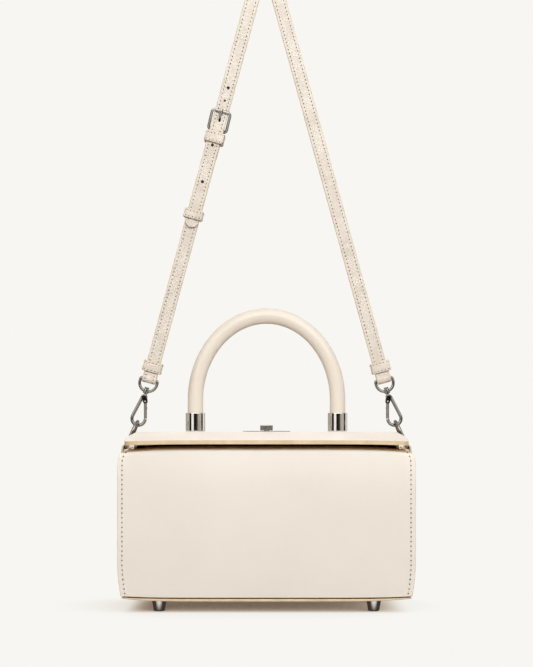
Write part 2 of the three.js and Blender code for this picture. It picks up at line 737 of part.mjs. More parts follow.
// Where the strap's layers lie from front to back at a place along a strand
const layer = strapThick + seatGap;
const foldLayer = bowWire / 2 + seatGap + strapThick / 2;
const railZ = railHeight();
const railAlong = (railZ - hookZ) / Math.cos(strapLean);
const wrapRadius = railRadius + strapThick / 2;
const restY = (along) => lerp(layer / 2, wrapRadius, (along - bowBar) / (railAlong - bowBar));

// The strands meet the rail's front and back a half turn of the helix apart
function railHeight() {
  const apexHeight = hookZ + hookX / Math.tan(strapLean);
  const aside = (Math.PI / 2) * (railRadius + strapThick / 2) * Math.tan(strapLean);
  return apexHeight - aside / Math.tan(strapLean);
}

// The fold round a bow's bar, from the tail's end to the strand; face is the strand's side
function bowFold(face) {
  const rows = [[tailEnd, -face * layer / 2], [bowBar + foldEase, -face * layer / 2]];
  for (const s of range(foldSteps)) {
    const turn = Math.PI * s;
    rows.push([bowBar - foldLayer * Math.sin(turn), -face * foldLayer * Math.cos(turn)]);
  }
  rows.push([bowBar + foldEase, face * layer / 2]);
  return rows;
}

const foldSteps = 6;
const buckleLayer = buckleWire / 2 + seatGap + strapThick / 2;
const lowBar = buckleLow + buckleWire / 2;
const highBar = buckleHigh - buckleWire / 2;
const lowBarY = -restY(lowBar) + buckleLayer;
const highBarY = -restY(highBar) - buckleLayer;

function strandRibbon(side, rows) {
  const { out, at } = strandFrame(side);
  return ribbon(rows.map(([along, y]) => at(along, 0, y)), out, strapWidth, strapThick);
}

function makeStraps() {
  const short = [
    ...bowFold(-1),
    [keeperTongue.high, -restY(keeperTongue.high)],
    [lowBar - foldEase, -restY(lowBar - foldEase)],
    ...range(foldSteps).map((s) => [
      lowBar + buckleLayer * Math.sin(Math.PI * s),
      lowBarY - buckleLayer * Math.cos(Math.PI * s),
    ]),
    [lowBar - tailEase, -restY(lowBar - tailEase) + layer],
    [shortTail, -restY(shortTail) + layer],
  ];
  const slotLow = lowBar - foldSlot.down;
  const slotHigh = lowBar + foldSlot.up;
  const slotReach = 2 * buckleLayer;
  const prongSlot = strandBox(-1, slotLow, slotHigh, slotWidth, lowBarY - slotReach, lowBarY + slotReach);
  addPiece("strap_short", cutAll(strandRibbon(-1, short), [prongSlot]), strapLeather);

  const right = bowFold(1);
  const rightSide = strandFrame(1);
  const leftSide = strandFrame(-1);
  const centres = right.map(([along, y]) => ({ point: rightSide.at(along, 0, y), width: rightSide.out }));
  for (const along of [lerp(bowBar, railAlong, 0.33), lerp(bowBar, railAlong, 0.67)]) {
    centres.push({ point: rightSide.at(along, 0, restY(along)), width: rightSide.out });
  }
  for (const s of range(10)) {
    const turn = Math.PI * s;
    const x = wrapRadius * Math.tan(strapLean) * (Math.PI / 2 - turn);
    centres.push({
      point: vec(x, wrapRadius * Math.cos(turn), railZ + wrapRadius * Math.sin(turn)),
      width: vec(
        Math.cos(strapLean),
        -Math.sin(strapLean) * Math.sin(turn),
        Math.sin(strapLean) * Math.cos(turn),
      ),
    });
  }
  const tongueRows = [
    [lerp(highBar, railAlong, 0.5), -restY(lerp(highBar, railAlong, 0.5))],
    [highBar + foldEase, -restY(highBar + foldEase)],
    [highBar, -restY(highBar)],
    [lerp(lowBar, highBar, 0.66), -restY(highBar) - layer * 0.3],
    [lerp(lowBar, highBar, 0.33), -restY(highBar) - layer * 0.75],
    [lowBar, -restY(lowBar) - layer],
    [keeperTongue.high, -restY(keeperTongue.high) - layer],
    [tongueEnd + strapWidth / 2, -restY(tongueEnd) - layer],
    [tongueEnd + strapWidth / 6, -restY(tongueEnd) - layer],
    [tongueEnd, -restY(tongueEnd) - layer],
  ];
  const shape = [1, 0.75, 0.3];
  for (const [along, y] of tongueRows) {
    centres.push({ point: leftSide.at(along, 0, y), width: leftSide.out.clone().negate() });
  }
  const sections = centres.map(({ point, width }, i) => {
    const before = centres[Math.max(i - 1, 0)].point;
    const after = centres[Math.min(i + 1, centres.length - 1)].point;
    const face = after.clone().sub(before).normalize().cross(width).normalize();
    const fromEnd = centres.length - 1 - i;
    const half = (strapWidth / 2) * (fromEnd < shape.length ? shape[shape.length - 1 - fromEnd] : 1);
    return [[-1, -1], [1, -1], [1, 1], [-1, 1]].map(([w, t]) => point.clone()
      .addScaledVector(width, w * half)
      .addScaledVector(face, (t * strapThick) / 2));
  });
  const holes = holeRows.map((along) => {
    const punch = new THREE.CylinderGeometry(strapHole / 2, strapHole / 2, 4 * strapThick, 10);
    const place = leftSide.at(along, 0, -restY(along) - (along < lowBar ? layer : 0));
    punch.translate(place.x, place.y, place.z);
    return punch;
  });
  const cutLow = prongHole - tongueSlot.down;
  const cutHigh = prongHole + tongueSlot.up;
  const cutFront = highBarY - strapThick;
  const prongCut = strandBox(-1, cutLow, cutHigh, slotWidth, cutFront, cutFront + 5 * strapThick);
  addPiece("strap_long", cutAll(loft(sections), [...holes, prongCut]), strapLeather);
}

// A block in a strand's own directions, for cutting slots
function strandBox(side, low, high, width, front, back) {
  const { up, out, at } = strandFrame(side);
  const box = new THREE.BoxGeometry(width, high - low, back - front);
  const middle = at((low + high) / 2, 0, (front + back) / 2);
  const turned = new THREE.Matrix4().makeBasis(out, up, out.clone().cross(up));
  return box.applyMatrix4(turned.setPosition(middle));
}

function makeBuckle() {
  const { at, out } = strandFrame(-1);
  const half = buckleWidth / 2 - buckleWire / 2;
  const height = highBar - lowBar;
  const c = buckleCorner;
  const outline = [
    ...arc(half - c, height - c, c, 0, Math.PI / 2, 3),
    ...arc(-half + c, height - c, c, Math.PI / 2, Math.PI, 3),
    ...arc(-half + c, c, c, Math.PI, 1.5 * Math.PI, 3),
    ...arc(half - c, c, c, 1.5 * Math.PI, 2 * Math.PI, 3),
  ];
  const path = outline.map(([across, up]) => at(lowBar + up, across, lerp(lowBarY, highBarY, up / height)));
  const level = at(height, 0, highBarY - lowBarY).sub(at(0, 0, 0)).cross(out).normalize();
  addPiece("buckle_frame", wire(path, buckleWire, level, { joined: true }), nickel);

  const eye = buckleWire / 2 + seatGap + prongWire / 2;
  const loop = arc(0, 0, eye, -Math.PI * 0.25, -Math.PI, 7).map(([y, up]) => [lowBar + up, lowBarY + y]);
  const rise = [
    [lowBar + 2, lowBarY - eye],
    [prongHole - 4, lowBarY - eye + 0.6],
    [prongHole - 1.8, lowBarY - eye - 0.2],
    [prongHole + 0.6, lerp(lowBarY - eye, highBarY - eye, 0.55)],
    [highBar - 1, highBarY - eye],
    [highBar + prongPast, highBarY - eye + 0.2],
  ];
  const places = [...loop, ...rise].map(([along, y]) => at(along, 0, y));
  addPiece("buckle_prong", wire(places, prongWire, out), nickel);
}

// Keepers: flat bands round the layers of a strand, from the front face to the back face
function makeKeeper(name, side, { low, high }, front, back) {
  const { at } = strandFrame(side);
  const ring = (grow, along) => {
    const x = strapWidth / 2 + keeperSlack + grow;
    const f = front - seatGap - grow;
    const b = back + seatGap + grow;
    const bend = keeperBend;
    return [
      [-x + bend, f], [x - bend, f], [x, f + bend], [x, b - bend],
      [x - bend, b], [-x + bend, b], [-x, b - bend], [-x, f + bend],
    ].map(([across, y]) => at(along, across, y));
  };
  const rings = [ring(0, low), ring(keeperThick, low), ring(keeperThick, high), ring(0, high)];
  addPiece(name, loft(rings, true), strapLeather);
}

function makeKeepers() {
  const half = strapThick / 2;
  const middle = (place) => (place.low + place.high) / 2;
  for (const side of [-1, 1]) {
    const reach = layer + keeperEase.end;
    makeKeeper(side < 0 ? "keeper_left" : "keeper_right", side, keeperEnd, -reach, reach);
  }
  const tongueY = -restY(middle(keeperTongue));
  const tongueFront = tongueY - layer - half - keeperEase.tongue;
  makeKeeper("keeper_tongue", -1, keeperTongue, tongueFront, tongueY + half + keeperEase.tongue);
  const buckleFront = -restY(middle(keeperBuckle)) - layer - half - keeperEase.buckle;
  makeKeeper("keeper_buckle", -1, keeperBuckle, buckleFront, lowBarY + buckleLayer + half);
}

makePanels();
makeGussets();
makeLid();
makeHandle();
makeLock();
makeFeet();
makeRings();
makeHooks();
makeStraps();
makeBuckle();
makeKeepers();

part.position.z = -(railZ + railRadius);

export default bag;
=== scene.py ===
# %% [markdown]
# # A small box bag of smooth leather
#
# This file dresses a bag whose hard frame is already built. Each cell makes one
# piece or one finish, and the text before it says what the piece is on the real
# bag and why it is made this way. All lengths are in metres, the front of the bag
# looks along -Y, and the origin is where the shoulder strap hangs.

# %% Load the frame
import math

import bpy
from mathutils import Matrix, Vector


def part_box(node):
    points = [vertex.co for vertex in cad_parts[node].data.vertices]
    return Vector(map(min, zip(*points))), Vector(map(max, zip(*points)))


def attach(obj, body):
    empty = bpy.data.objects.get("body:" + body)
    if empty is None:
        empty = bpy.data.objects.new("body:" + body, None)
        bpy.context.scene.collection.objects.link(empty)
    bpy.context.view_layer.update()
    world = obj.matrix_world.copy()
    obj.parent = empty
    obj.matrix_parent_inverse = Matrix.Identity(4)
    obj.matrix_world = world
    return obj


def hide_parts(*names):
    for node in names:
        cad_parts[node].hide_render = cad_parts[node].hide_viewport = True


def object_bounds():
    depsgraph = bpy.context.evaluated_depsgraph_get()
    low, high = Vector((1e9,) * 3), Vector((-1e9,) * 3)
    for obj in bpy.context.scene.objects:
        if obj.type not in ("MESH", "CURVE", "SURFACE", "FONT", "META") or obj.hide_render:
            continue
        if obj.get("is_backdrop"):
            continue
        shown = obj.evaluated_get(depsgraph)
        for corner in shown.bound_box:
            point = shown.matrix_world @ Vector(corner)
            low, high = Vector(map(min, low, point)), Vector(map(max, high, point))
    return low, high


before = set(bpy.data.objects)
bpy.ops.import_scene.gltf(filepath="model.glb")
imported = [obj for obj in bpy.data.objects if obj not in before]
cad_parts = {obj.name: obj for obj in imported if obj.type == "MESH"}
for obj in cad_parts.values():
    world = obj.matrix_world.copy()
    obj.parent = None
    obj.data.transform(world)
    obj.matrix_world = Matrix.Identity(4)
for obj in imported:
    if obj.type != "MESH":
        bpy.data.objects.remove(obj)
cad_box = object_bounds()
print("box of the frame:", [round(v, 4) for v in (*cad_box[0], *cad_box[1])])

# %% [markdown]
# ## Sizes
#
# The big sizes come from the frame, so that a leather skin always fits what it
# covers. The small ones, such as how far a stitch lies from an edge, belong to the
# finish and are named here once. Pieces that touch keep a play of 0.3 mm.

# %% Sizes taken from the frame
MM = 0.001
floor_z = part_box("foot_front_left")[0].z
panel_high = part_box("front_panel")[1]
base_low, base_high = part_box("base_panel")
lid_low, lid_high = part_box("lid")

lid_top = lid_high.z
body_half = panel_high.x
body_front = base_low.y
body_back = base_high.y
body_top = lid_top - 13 * MM
base_under = base_low.z

play = 0.3
seat_gap = play * MM
wall = 2.4 * MM
panel_foot = base_under + wall + seat_gap
roll_radius = 6 * MM
roll_turn = 1.7
crest_lean = 1.6 * MM
crest_down = 24 * MM
panel_crown = 1.2 * MM
panel_rise = 2.8 * MM
shoulder_in = 8 * MM
shoulder_down = 10 * MM
heel_in = 3 * MM
heel_up = 30 * MM
base_bow = 2.6 * MM
print("body", round(2000 * body_half), "mm wide,", round(1000 * (body_back - body_front)), "mm deep")

# %% [markdown]
# ## Helpers for meshes
#
# Most leather pieces are walls: an outer surface, an inner one a thickness behind
# it, and a rim that joins them. A formula gives a point and the direction square
# to the surface, so one helper makes every wall. The rim is a face group of its own
# because the cut edge of the real leather is painted in a darker tan.

# %% A plain mesh object
def mesh_object(name, points, faces, materials=(), indices=None):
    mesh = bpy.data.meshes.new(name)
    mesh.from_pydata([tuple(p) for p in points], [], faces)
    for material in materials:
        mesh.materials.append(material)
    if indices is not None:
        mesh.polygons.foreach_set("material_index", indices)
    mesh.polygons.foreach_set("use_smooth", [True] * len(mesh.polygons))
    mesh.update()
    made = bpy.data.objects.new(name, mesh)
    bpy.context.scene.collection.objects.link(made)
    return made


# %% Modifiers turned into plain mesh
def settle(made):
    graph = bpy.context.evaluated_depsgraph_get()
    mesh = bpy.data.meshes.new_from_object(
        made.evaluated_get(graph), preserve_all_data_layers=True, depsgraph=graph
    )
    made.modifiers.clear()
    made.data = mesh
    return made


def even_normals(made, weight):
    even = made.modifiers.new("even_normals", "WEIGHTED_NORMAL")
    even.weight = weight
    return settle(made)


def round_edges(made, width, segments=3, material=-1):
    bevel = made.modifiers.new("round_edges", "BEVEL")
    bevel.width = width
    bevel.segments = segments
    bevel.limit_method = "ANGLE"
    bevel.angle_limit = math.radians(40)
    bevel.material = material
    bevel.use_clamp_overlap = True
    return even_normals(made, 70)


# %% Face lists turned so that they look outwards
def outward(points, faces):
    volume = 0.0
    for face in faces:
        a = Vector(points[face[0]])
        for b, c in zip(face[1:-1], face[2:]):
            volume += a.dot(Vector(points[b]).cross(Vector(points[c])))
    return faces if volume > 0 else [tuple(reversed(face)) for face in faces]


# %% A prism from two outlines, the low one first
def prism(name, points, finish, bevel, segments=3):
    count = len(points) // 2
    faces = [(i, (i + 1) % count, count + (i + 1) % count, count + i) for i in range(count)]
    faces += [tuple(reversed(range(count))), tuple(range(count, 2 * count))]
    return round_edges(mesh_object(name, points, outward(points, faces), [finish]), bevel * MM, segments)


# %% A piece handed to the frame: the body it rides on and the nodes it replaces
def dress(piece, body, nodes=()):
    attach(piece, body)
    if nodes:
        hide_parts(*nodes)
    print(piece.name, len(piece.data.polygons), "faces on", body)


# %% A leather wall from a formula
OUTER, RIM, INNER, LIP = 0, 1, 2, 3


def leather_wall(name, surface, across, along, thick, materials, edge=0.5 * MM, lip_from=None):
    points, count, rows = [], len(across), len(along)
    depth_at = thick if callable(thick) else lambda u, v: thick
    for inner in (0, 1):
        for v in along:
            for u in across:
                place, square = surface(u, v)
                points.append(place - square * inner * depth_at(u, v))
    at = lambda layer, i, j: (layer * rows + j) * count + i
    faces, groups = [], []
    for j in range(rows - 1):
        for i in range(count - 1):
            faces.append((at(0, i, j), at(0, i + 1, j), at(0, i + 1, j + 1), at(0, i, j + 1)))
            faces.append((at(1, i, j), at(1, i, j + 1), at(1, i + 1, j + 1), at(1, i + 1, j)))
            in_lip = lip_from is not None and along[j] >= lip_from
            groups += [LIP if in_lip else OUTER, INNER]
    for j in range(rows - 1):
        faces.append((at(0, 0, j), at(0, 0, j + 1), at(1, 0, j + 1), at(1, 0, j)))
        last = count - 1
        faces.append((at(0, last, j), at(1, last, j), at(1, last, j + 1), at(0, last, j + 1)))
        groups += [RIM, RIM]
    for i in range(count - 1):
        faces.append((at(0, i, 0), at(1, i, 0), at(1, i + 1, 0), at(0, i + 1, 0)))
        last = rows - 1
        faces.append((at(0, i, last), at(0, i + 1, last), at(1, i + 1, last), at(1, i, last)))
        groups += [RIM, RIM]
    made = mesh_object(name, points, outward(points, faces), materials, groups)
    return round_edges(made, edge, material=RIM)


# %% Evenly spaced shares
def shares(count, low=0.0, high=1.0):
    return [low + (high - low) * i / count for i in range(count + 1)]


def blend_to(a, b, share):
    return a + (b - a) * share


def clamp01(value):
    return max(0.0, min(1.0, value))


def arc_points(cx, cy, radius, start, end, count):
    return [
        (cx + radius * math.cos(turn), cy + radius * math.sin(turn))
        for turn in shares(count, start, end)
    ]


print("helpers ready")

# %% [markdown]
# ## Finishes
#
# Two effects are shared by several finishes, so each is a node group that is built
# once. Leather grain is a net of small cells broken up by noise: its height feeds a
# Bump node. Soft mottling is a slow noise that lets colour and gloss drift a little,
# as hide does. Constants such as the sheen are set on the shader's own sockets.

# %% Node helpers
def new_group(name, inputs, outputs):
    group = bpy.data.node_groups.new(name, "ShaderNodeTree")
    for label, kind, value in inputs:
        socket = group.interface.new_socket(label, in_out="INPUT", socket_type=kind)
        if value is not None:
            socket.default_value = value
    for label, kind in outputs:
        group.interface.new_socket(label, in_out="OUTPUT", socket_type=kind)
    return group, group.nodes.new("NodeGroupInput"), group.nodes.new("NodeGroupOutput")


def math_node(tree, operation, first, second=None):
    node = tree.nodes.new("ShaderNodeMath")
    node.operation = operation
    for socket, value in zip(node.inputs, (first, second)):
        if value is None:
            continue
        if isinstance(value, bpy.types.NodeSocket):
            tree.links.new(value, socket)
        else:
            socket.default_value = value
    return node.outputs[0]


def noise_node(tree, place, scale, detail=2.0, rough=0.5):
    node = tree.nodes.new("ShaderNodeTexNoise")
    tree.links.new(place, node.inputs["Vector"])
    if isinstance(scale, bpy.types.NodeSocket):
        tree.links.new(scale, node.inputs["Scale"])
    else:
        node.inputs["Scale"].default_value = scale
    node.inputs["Detail"].default_value = detail
    node.inputs["Roughness"].default_value = rough
    return node.outputs["Fac"]


# %% Leather grain as a node group
wander_scale, wander_reach = 260.0, 0.0012
cell_slope = 6.0
speckle_scale, speckle_share = 2600.0, 0.35
grain_group, grain_in, grain_out = new_group(
    "leather_grain",
    [("Place", "NodeSocketVector", None), ("Cell Scale", "NodeSocketFloat", 900.0),
     ("Cell Share", "NodeSocketFloat", 0.5)],
    [("Height", "NodeSocketFloat"), ("Pores", "NodeSocketFloat")],
)
cells = grain_group.nodes.new("ShaderNodeTexVoronoi")
cells.feature = "DISTANCE_TO_EDGE"
wander = noise_node(grain_group, grain_in.outputs["Place"], wander_scale, 3.0)
shift = grain_group.nodes.new("ShaderNodeVectorMath")
shift.operation = "ADD"
push = grain_group.nodes.new("ShaderNodeVectorMath")
push.operation = "SCALE"
push.inputs["Scale"].default_value = wander_reach
grain_group.links.new(wander, push.inputs[0])
grain_group.links.new(grain_in.outputs["Place"], shift.inputs[0])
grain_group.links.new(push.outputs[0], shift.inputs[1])
grain_group.links.new(shift.outputs[0], cells.inputs["Vector"])
grain_group.links.new(grain_in.outputs["Cell Scale"], cells.inputs["Scale"])
steep_cells = math_node(grain_group, "MULTIPLY", cells.outputs[0], cell_slope)
soft_cells = math_node(grain_group, "MINIMUM", steep_cells, 1.0)
speckle = noise_node(grain_group, grain_in.outputs["Place"], speckle_scale)
kept = math_node(grain_group, "MULTIPLY", soft_cells, grain_in.outputs["Cell Share"])
height = math_node(grain_group, "ADD", kept, math_node(grain_group, "MULTIPLY", speckle, speckle_share))
grain_group.links.new(height, grain_out.inputs["Height"])
grain_group.links.new(math_node(grain_group, "SUBTRACT", 1.0, soft_cells), grain_out.inputs["Pores"])
print("leather_grain nodes:", len(grain_group.nodes))

# %% Soft mottling as a node group
mottle_group, mottle_in, mottle_out = new_group(
    "soft_mottling",
    [("Place", "NodeSocketVector", None), ("Size", "NodeSocketFloat", 18.0)],
    [("Cloud", "NodeSocketFloat"), ("Fleck", "NodeSocketFloat")],
)
cloud = noise_node(mottle_group, mottle_in.outputs["Place"], mottle_in.outputs["Size"], 4.0, 0.6)
fleck = noise_node(mottle_group, mottle_in.outputs["Place"], 420.0, 3.0, 0.7)
mottle_group.links.new(cloud, mottle_out.inputs["Cloud"])
mottle_group.links.new(fleck, mottle_out.inputs["Fleck"])
print("soft_mottling nodes:", len(mottle_group.nodes))


# %% A material to start from
def start_material(name):
    material = bpy.data.materials.new(name)
    material.use_nodes = True
    tree = material.node_tree
    shader = tree.nodes["Principled BSDF"]
    place = tree.nodes.new("ShaderNodeTexCoord").outputs["Object"]
    return material, tree, shader, place


def add_group(tree, group, place, **values):
    node = tree.nodes.new("ShaderNodeGroup")
    node.node_tree = group
    tree.links.new(place, node.inputs["Place"])
    for label, value in values.items():
        node.inputs[label.replace("_", " ")].default_value = value
    return node


def colour_drift(tree, shader, share, low, high, from_low=0.3, from_high=0.7):
    ramp = tree.nodes.new("ShaderNodeValToRGB")
    ramp.color_ramp.elements[0].position = from_low
    ramp.color_ramp.elements[1].position = from_high
    ramp.color_ramp.elements[0].color = (*low, 1)
    ramp.color_ramp.elements[1].color = (*high, 1)
    tree.links.new(share, ramp.inputs[0])
    tree.links.new(ramp.outputs[0], shader.inputs["Base Color"])


def gloss_drift(tree, shader, share, low, high):
    node = tree.nodes.new("ShaderNodeMapRange")
    tree.links.new(share, node.inputs["Value"])
    node.inputs["From Min"].default_value = 0.3
    node.inputs["From Max"].default_value = 0.7
    node.inputs["To Min"].default_value = low
    node.inputs["To Max"].default_value = high
    tree.links.new(node.outputs[0], shader.inputs["Roughness"])


def bump_from(tree, shader, height, distance):
    bump = tree.nodes.new("ShaderNodeBump")
    bump.inputs["Strength"].default_value = 1.0
    bump.inputs["Distance"].default_value = distance
    tree.links.new(height, bump.inputs["Height"])
    tree.links.new(bump.outputs[0], shader.inputs["Normal"])


def srgb(red, green, blue):
    turn = lambda c: c / 12.92 if c <= 0.04045 else ((c + 0.055) / 1.055) ** 2.4
    return tuple(turn(v / 255) for v in (red, green, blue))


# %% Leather finishes
def leather(name, light, dark, gloss, cell_scale, cell_share, depth, mottle=18.0, coat=0.22):
    material, tree, shader, place = start_material(name)
    grain = add_group(tree, grain_group, place, Cell_Scale=cell_scale, Cell_Share=cell_share)
    drift = add_group(tree, mottle_group, place, Size=mottle)
    colour_drift(tree, shader, drift.outputs["Cloud"], dark, light, 0.3, 0.65)
    gloss_drift(tree, shader, drift.outputs["Fleck"], gloss - 0.05, gloss + 0.05)
    bump_from(tree, shader, grain.outputs["Height"], depth)
    shader.inputs["Specular IOR Level"].default_value = 0.45
    shader.inputs["Coat Weight"].default_value = coat
    shader.inputs["Coat Roughness"].default_value = 0.26
    return material


fine_grain = 0.00006
body_leather = leather(
    "body_leather", srgb(229, 219, 208), srgb(225, 214, 202), 0.33, 1500.0, 0.18, fine_grain
)
lid_leather = leather(
    "lid_leather", srgb(231, 221, 210), srgb(227, 216, 204), 0.5, 1500.0, 0.18, fine_grain, coat=0.04
)
handle_leather = leather(
    "handle_leather", srgb(222, 210, 196), srgb(218, 205, 190), 0.42, 1400.0, 0.22, fine_grain
)
strap_leather = leather(
    "strap_leather", srgb(228, 216, 203), srgb(212, 199, 185), 0.55, 750.0, 0.75, 0.00026, mottle=90.0
)
print("leathers ready")

# %% [markdown]
# The cut edges are sealed with a thin tan paint that dries with a low, uneven
# gloss. The lining inside the bag is a dark brown suede, and its darkness is partly
# painted shade: it stands in for the shade that makes the slit under the lid look almost black.

# %% Edge paint, lining and thread
def edge_paint_finish(name, dark, light):
    material, tree, shader, place = start_material(name)
    drift = add_group(tree, mottle_group, place, Size=120.0)
    colour_drift(tree, shader, drift.outputs["Cloud"], dark, light)
    gloss_drift(tree, shader, drift.outputs["Fleck"], 0.35, 0.55)
    bump_from(tree, shader, drift.outputs["Fleck"], 0.00008)
    return material


# The lining's dark brown is partly painted shade, for the slit under the lid
def lining_and_shade_finish():
    material, tree, shader, place = start_material("lining_suede")
    drift = add_group(tree, mottle_group, place, Size=300.0)
    colour_drift(tree, shader, drift.outputs["Fleck"], srgb(84, 58, 36), srgb(116, 84, 56))
    shader.inputs["Roughness"].default_value = 0.95
    shader.inputs["Sheen Weight"].default_value = 0.3
    bump_from(tree, shader, drift.outputs["Fleck"], 0.0002)
    return material


def thread_finish():
    material, tree, shader, place = start_material("waxed_thread")
    twist = tree.nodes.new("ShaderNodeTexWave")
    twist.bands_direction = "DIAGONAL"
    twist.inputs["Scale"].default_value = 900.0
    tree.links.new(place, twist.inputs["Vector"])
    colour_drift(tree, shader, twist.outputs["Fac"], srgb(214, 200, 180), srgb(238, 228, 212), 0.0, 1.0)
    shader.inputs["Roughness"].default_value = 0.6
    bump_from(tree, shader, twist.outputs["Fac"], 0.00008)
    return material


# Holes are drawn as dark marks: painted shade for the hollow of each needle or punch hole
def hole_shade_finish():
    material, tree, shader, place = start_material("needle_hole")
    drift = add_group(tree, mottle_group, place, Size=200.0)
    colour_drift(tree, shader, drift.outputs["Fleck"], srgb(58, 46, 34), srgb(84, 68, 52))
    shader.inputs["Roughness"].default_value = 0.9
    return material


edge_paint = edge_paint_finish("edge_paint", srgb(205, 178, 141), srgb(222, 198, 164))
# The lip's darker tan is partly edge paint and partly painted shade, for the shade under the lid's overhang
lip_paint = edge_paint_finish("lip_paint", srgb(182, 143, 98), srgb(196, 158, 112))
strap_paint = edge_paint_finish("strap_paint", srgb(204, 184, 158), srgb(220, 202, 178))
lining_and_shade = lining_and_shade_finish()
thread = thread_finish()
needle_hole = hole_shade_finish()
leather_set = [body_leather, edge_paint, lining_and_shade]
front_set = [body_leather, edge_paint, lining_and_shade, lip_paint]
strap_set = [strap_leather, strap_paint, strap_leather]
print("trims ready")

# %% [markdown]
# The fittings are cast zinc with a nickel plate. The ferrules and feet are bright,
# the hooks dark, the buckle and gates satin, and the lock a smoky gunmetal. A metal's look
# is mostly what it mirrors, so the material only adds faint polishing marks and a
# little haze that varies over the surface.

# %% Metal finishes
def plated_metal(name, tint, haze):
    material, tree, shader, place = start_material(name)
    drift = add_group(tree, mottle_group, place, Size=160.0)
    dark = tuple(0.8 * v for v in tint)
    colour_drift(tree, shader, drift.outputs["Cloud"], dark, tint, 0.25, 0.55)
    shader.inputs["Metallic"].default_value = 1.0
    gloss_drift(tree, shader, drift.outputs["Fleck"], haze, haze + 0.05)
    bump_from(tree, shader, drift.outputs["Fleck"], 0.000008)
    return material


bright_nickel = plated_metal("bright_nickel", (0.78, 0.76, 0.73), 0.05)
dark_nickel = plated_metal("dark_nickel", (0.25, 0.235, 0.215), 0.1)
satin_nickel = plated_metal("satin_nickel", (0.42, 0.405, 0.38), 0.2)
gunmetal = plated_metal("gunmetal", (0.46, 0.42, 0.38), 0.20)
print("metals ready")

# %% [markdown]
# ## The body's outline
#
# Seen from the front the box has nearly upright sides, rounded shoulders and a
# slight draw at the heel. Every body piece asks this one function how wide the bag
# is at a height, so the panels, base and side gussets always meet.

# %% How wide the body is at a height
def half_width(z, inset=0.0):
    shoulder = clamp01((z - (body_top - shoulder_down)) / shoulder_down)
    heel = clamp01((base_under + heel_up - z) / heel_up)
    drawn = shoulder_in * (1 - math.sqrt(1 - shoulder * shoulder)) + heel_in * heel * heel
    return body_half - inset - drawn


def base_lift(x):
    return base_bow * (abs(x) / body_half) ** 6


def seam_lift(x, z):
    return base_lift(x) / 2 * max(0.0, 1 - (z - panel_foot) / heel_up)


print("widest", round(2000 * half_width(floor_z + 0.06), 1), "mm")

# %% [markdown]
# ## Front panel
#
# The front is one stiffened piece. It swells a little in its middle, leans back
# near its top and is then rolled over, which makes the long soft highlight under
# the lid. Its shape follows a rule, so a formula with the distance up the panel is
# the simplest way to make it.

# %% Front panel
crest_turn = math.atan(2 * crest_lean / crest_down)
roll_y = body_front + crest_lean + roll_radius * math.cos(crest_turn)
roll_z = body_top - roll_radius
crest_z = roll_z + roll_radius * math.sin(crest_turn)


def front_profile(z):
    if z <= crest_z:
        share = clamp01((z - crest_z + crest_down) / crest_down)
        return body_front + crest_lean * share * share, math.atan(2 * crest_lean * share / crest_down)
    turn = math.asin(min(1.0, (z - roll_z) / roll_radius))
    return roll_y - roll_radius * math.cos(turn), turn


def front_place(x, y, z):
    u = x / half_width(min(z, body_top))
    rise = min(1.0, (z - panel_foot) / (body_top - panel_foot))
    crown = panel_crown * (1 - u * u) * math.sin(math.pi * rise)
    return Vector((x, y - crown, z + seam_lift(x, z) + panel_rise * (1 - u ** 6) * rise))


# The distance up the panel: straight part, then the roll; past lip_share it is a darker tan, partly edge paint
# and partly painted shade under the lid
straight = crest_z - panel_foot
profile_length = straight + roll_radius * (roll_turn - crest_turn)
lip_turn = 0.58
lip_share = (straight + roll_radius * (lip_turn - crest_turn)) / profile_length


def front_surface(u, v):
    way = v * profile_length
    if way <= straight:
        z = panel_foot + way
        y, turn = front_profile(z)
    else:
        turn = crest_turn + (way - straight) / roll_radius
        y, z = roll_y - roll_radius * math.cos(turn), roll_z + roll_radius * math.sin(turn)
    place = front_place(u * half_width(min(z, body_top)), y, z)
    return place, Vector((0, -math.cos(turn), math.sin(turn)))


front_steps = shares(36, 0, 0.9) + shares(12, 0.9, lip_share)[1:] + shares(12, lip_share, 1)[1:]
front = leather_wall(
    "front_skin", front_surface, shares(80, -1, 1), front_steps, wall, front_set, lip_from=lip_share - 1e-6
)
dress(front, "bag", ["front_panel"])

# %% [markdown]
# ## Back and base
#
# The back is a flat stiffened panel that runs up under the lid's sewn flap. The
# base is a flat board covered in the same leather, bowed down a little in its
# middle. Its painted edge is the tan line along the bottom of the bag.

# %% Back panel
back_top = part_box("back_panel")[1].z


def back_surface(u, v):
    z = blend_to(panel_foot, back_top, v)
    x = u * half_width(z)
    return Vector((x, body_back, z + seam_lift(x, z))), Vector((0, 1, 0))


back = leather_wall("back_skin", back_surface, shares(60, -1, 1), shares(40), wall, leather_set)
dress(back, "bag", ["back_panel"])

# %% Base panel
base_half = base_high.x
base_board = 1.9 * MM


def base_surface(u, v):
    x = u * base_half
    y = blend_to(body_front, body_back, v)
    return Vector((x, y, base_under + base_lift(x))), Vector((0, 0, -1))


def base_depth(u, v):
    return base_board - base_lift(u * base_half) / 2


base = leather_wall(
    "base_skin", base_surface, shares(72, -1, 1), shares(20), base_depth, leather_set, edge=0.4 * MM
)
dress(base, "bag", ["base_panel"])

# %% [markdown]
# ## Gussets
#
# The side pieces are softer. They follow the panels' outline just inside their
# edges, turn in over the shoulders and rise as a narrow neck to the lid. The neck's
# top follows the lid's underside.

# %% Lid's underside, which the necks reach
lid_thick = 3 * MM
lid_front = lid_low.y
lid_fall = 6 * MM
fall_start = -18 * MM
lid_droop = 1.2 * MM
fold_radius = 14 * MM
fold_y = lid_high.y - fold_radius


def lid_slope(y):
    return math.sin(math.pi / 2 * clamp01((fall_start - y) / (fall_start - lid_front)))


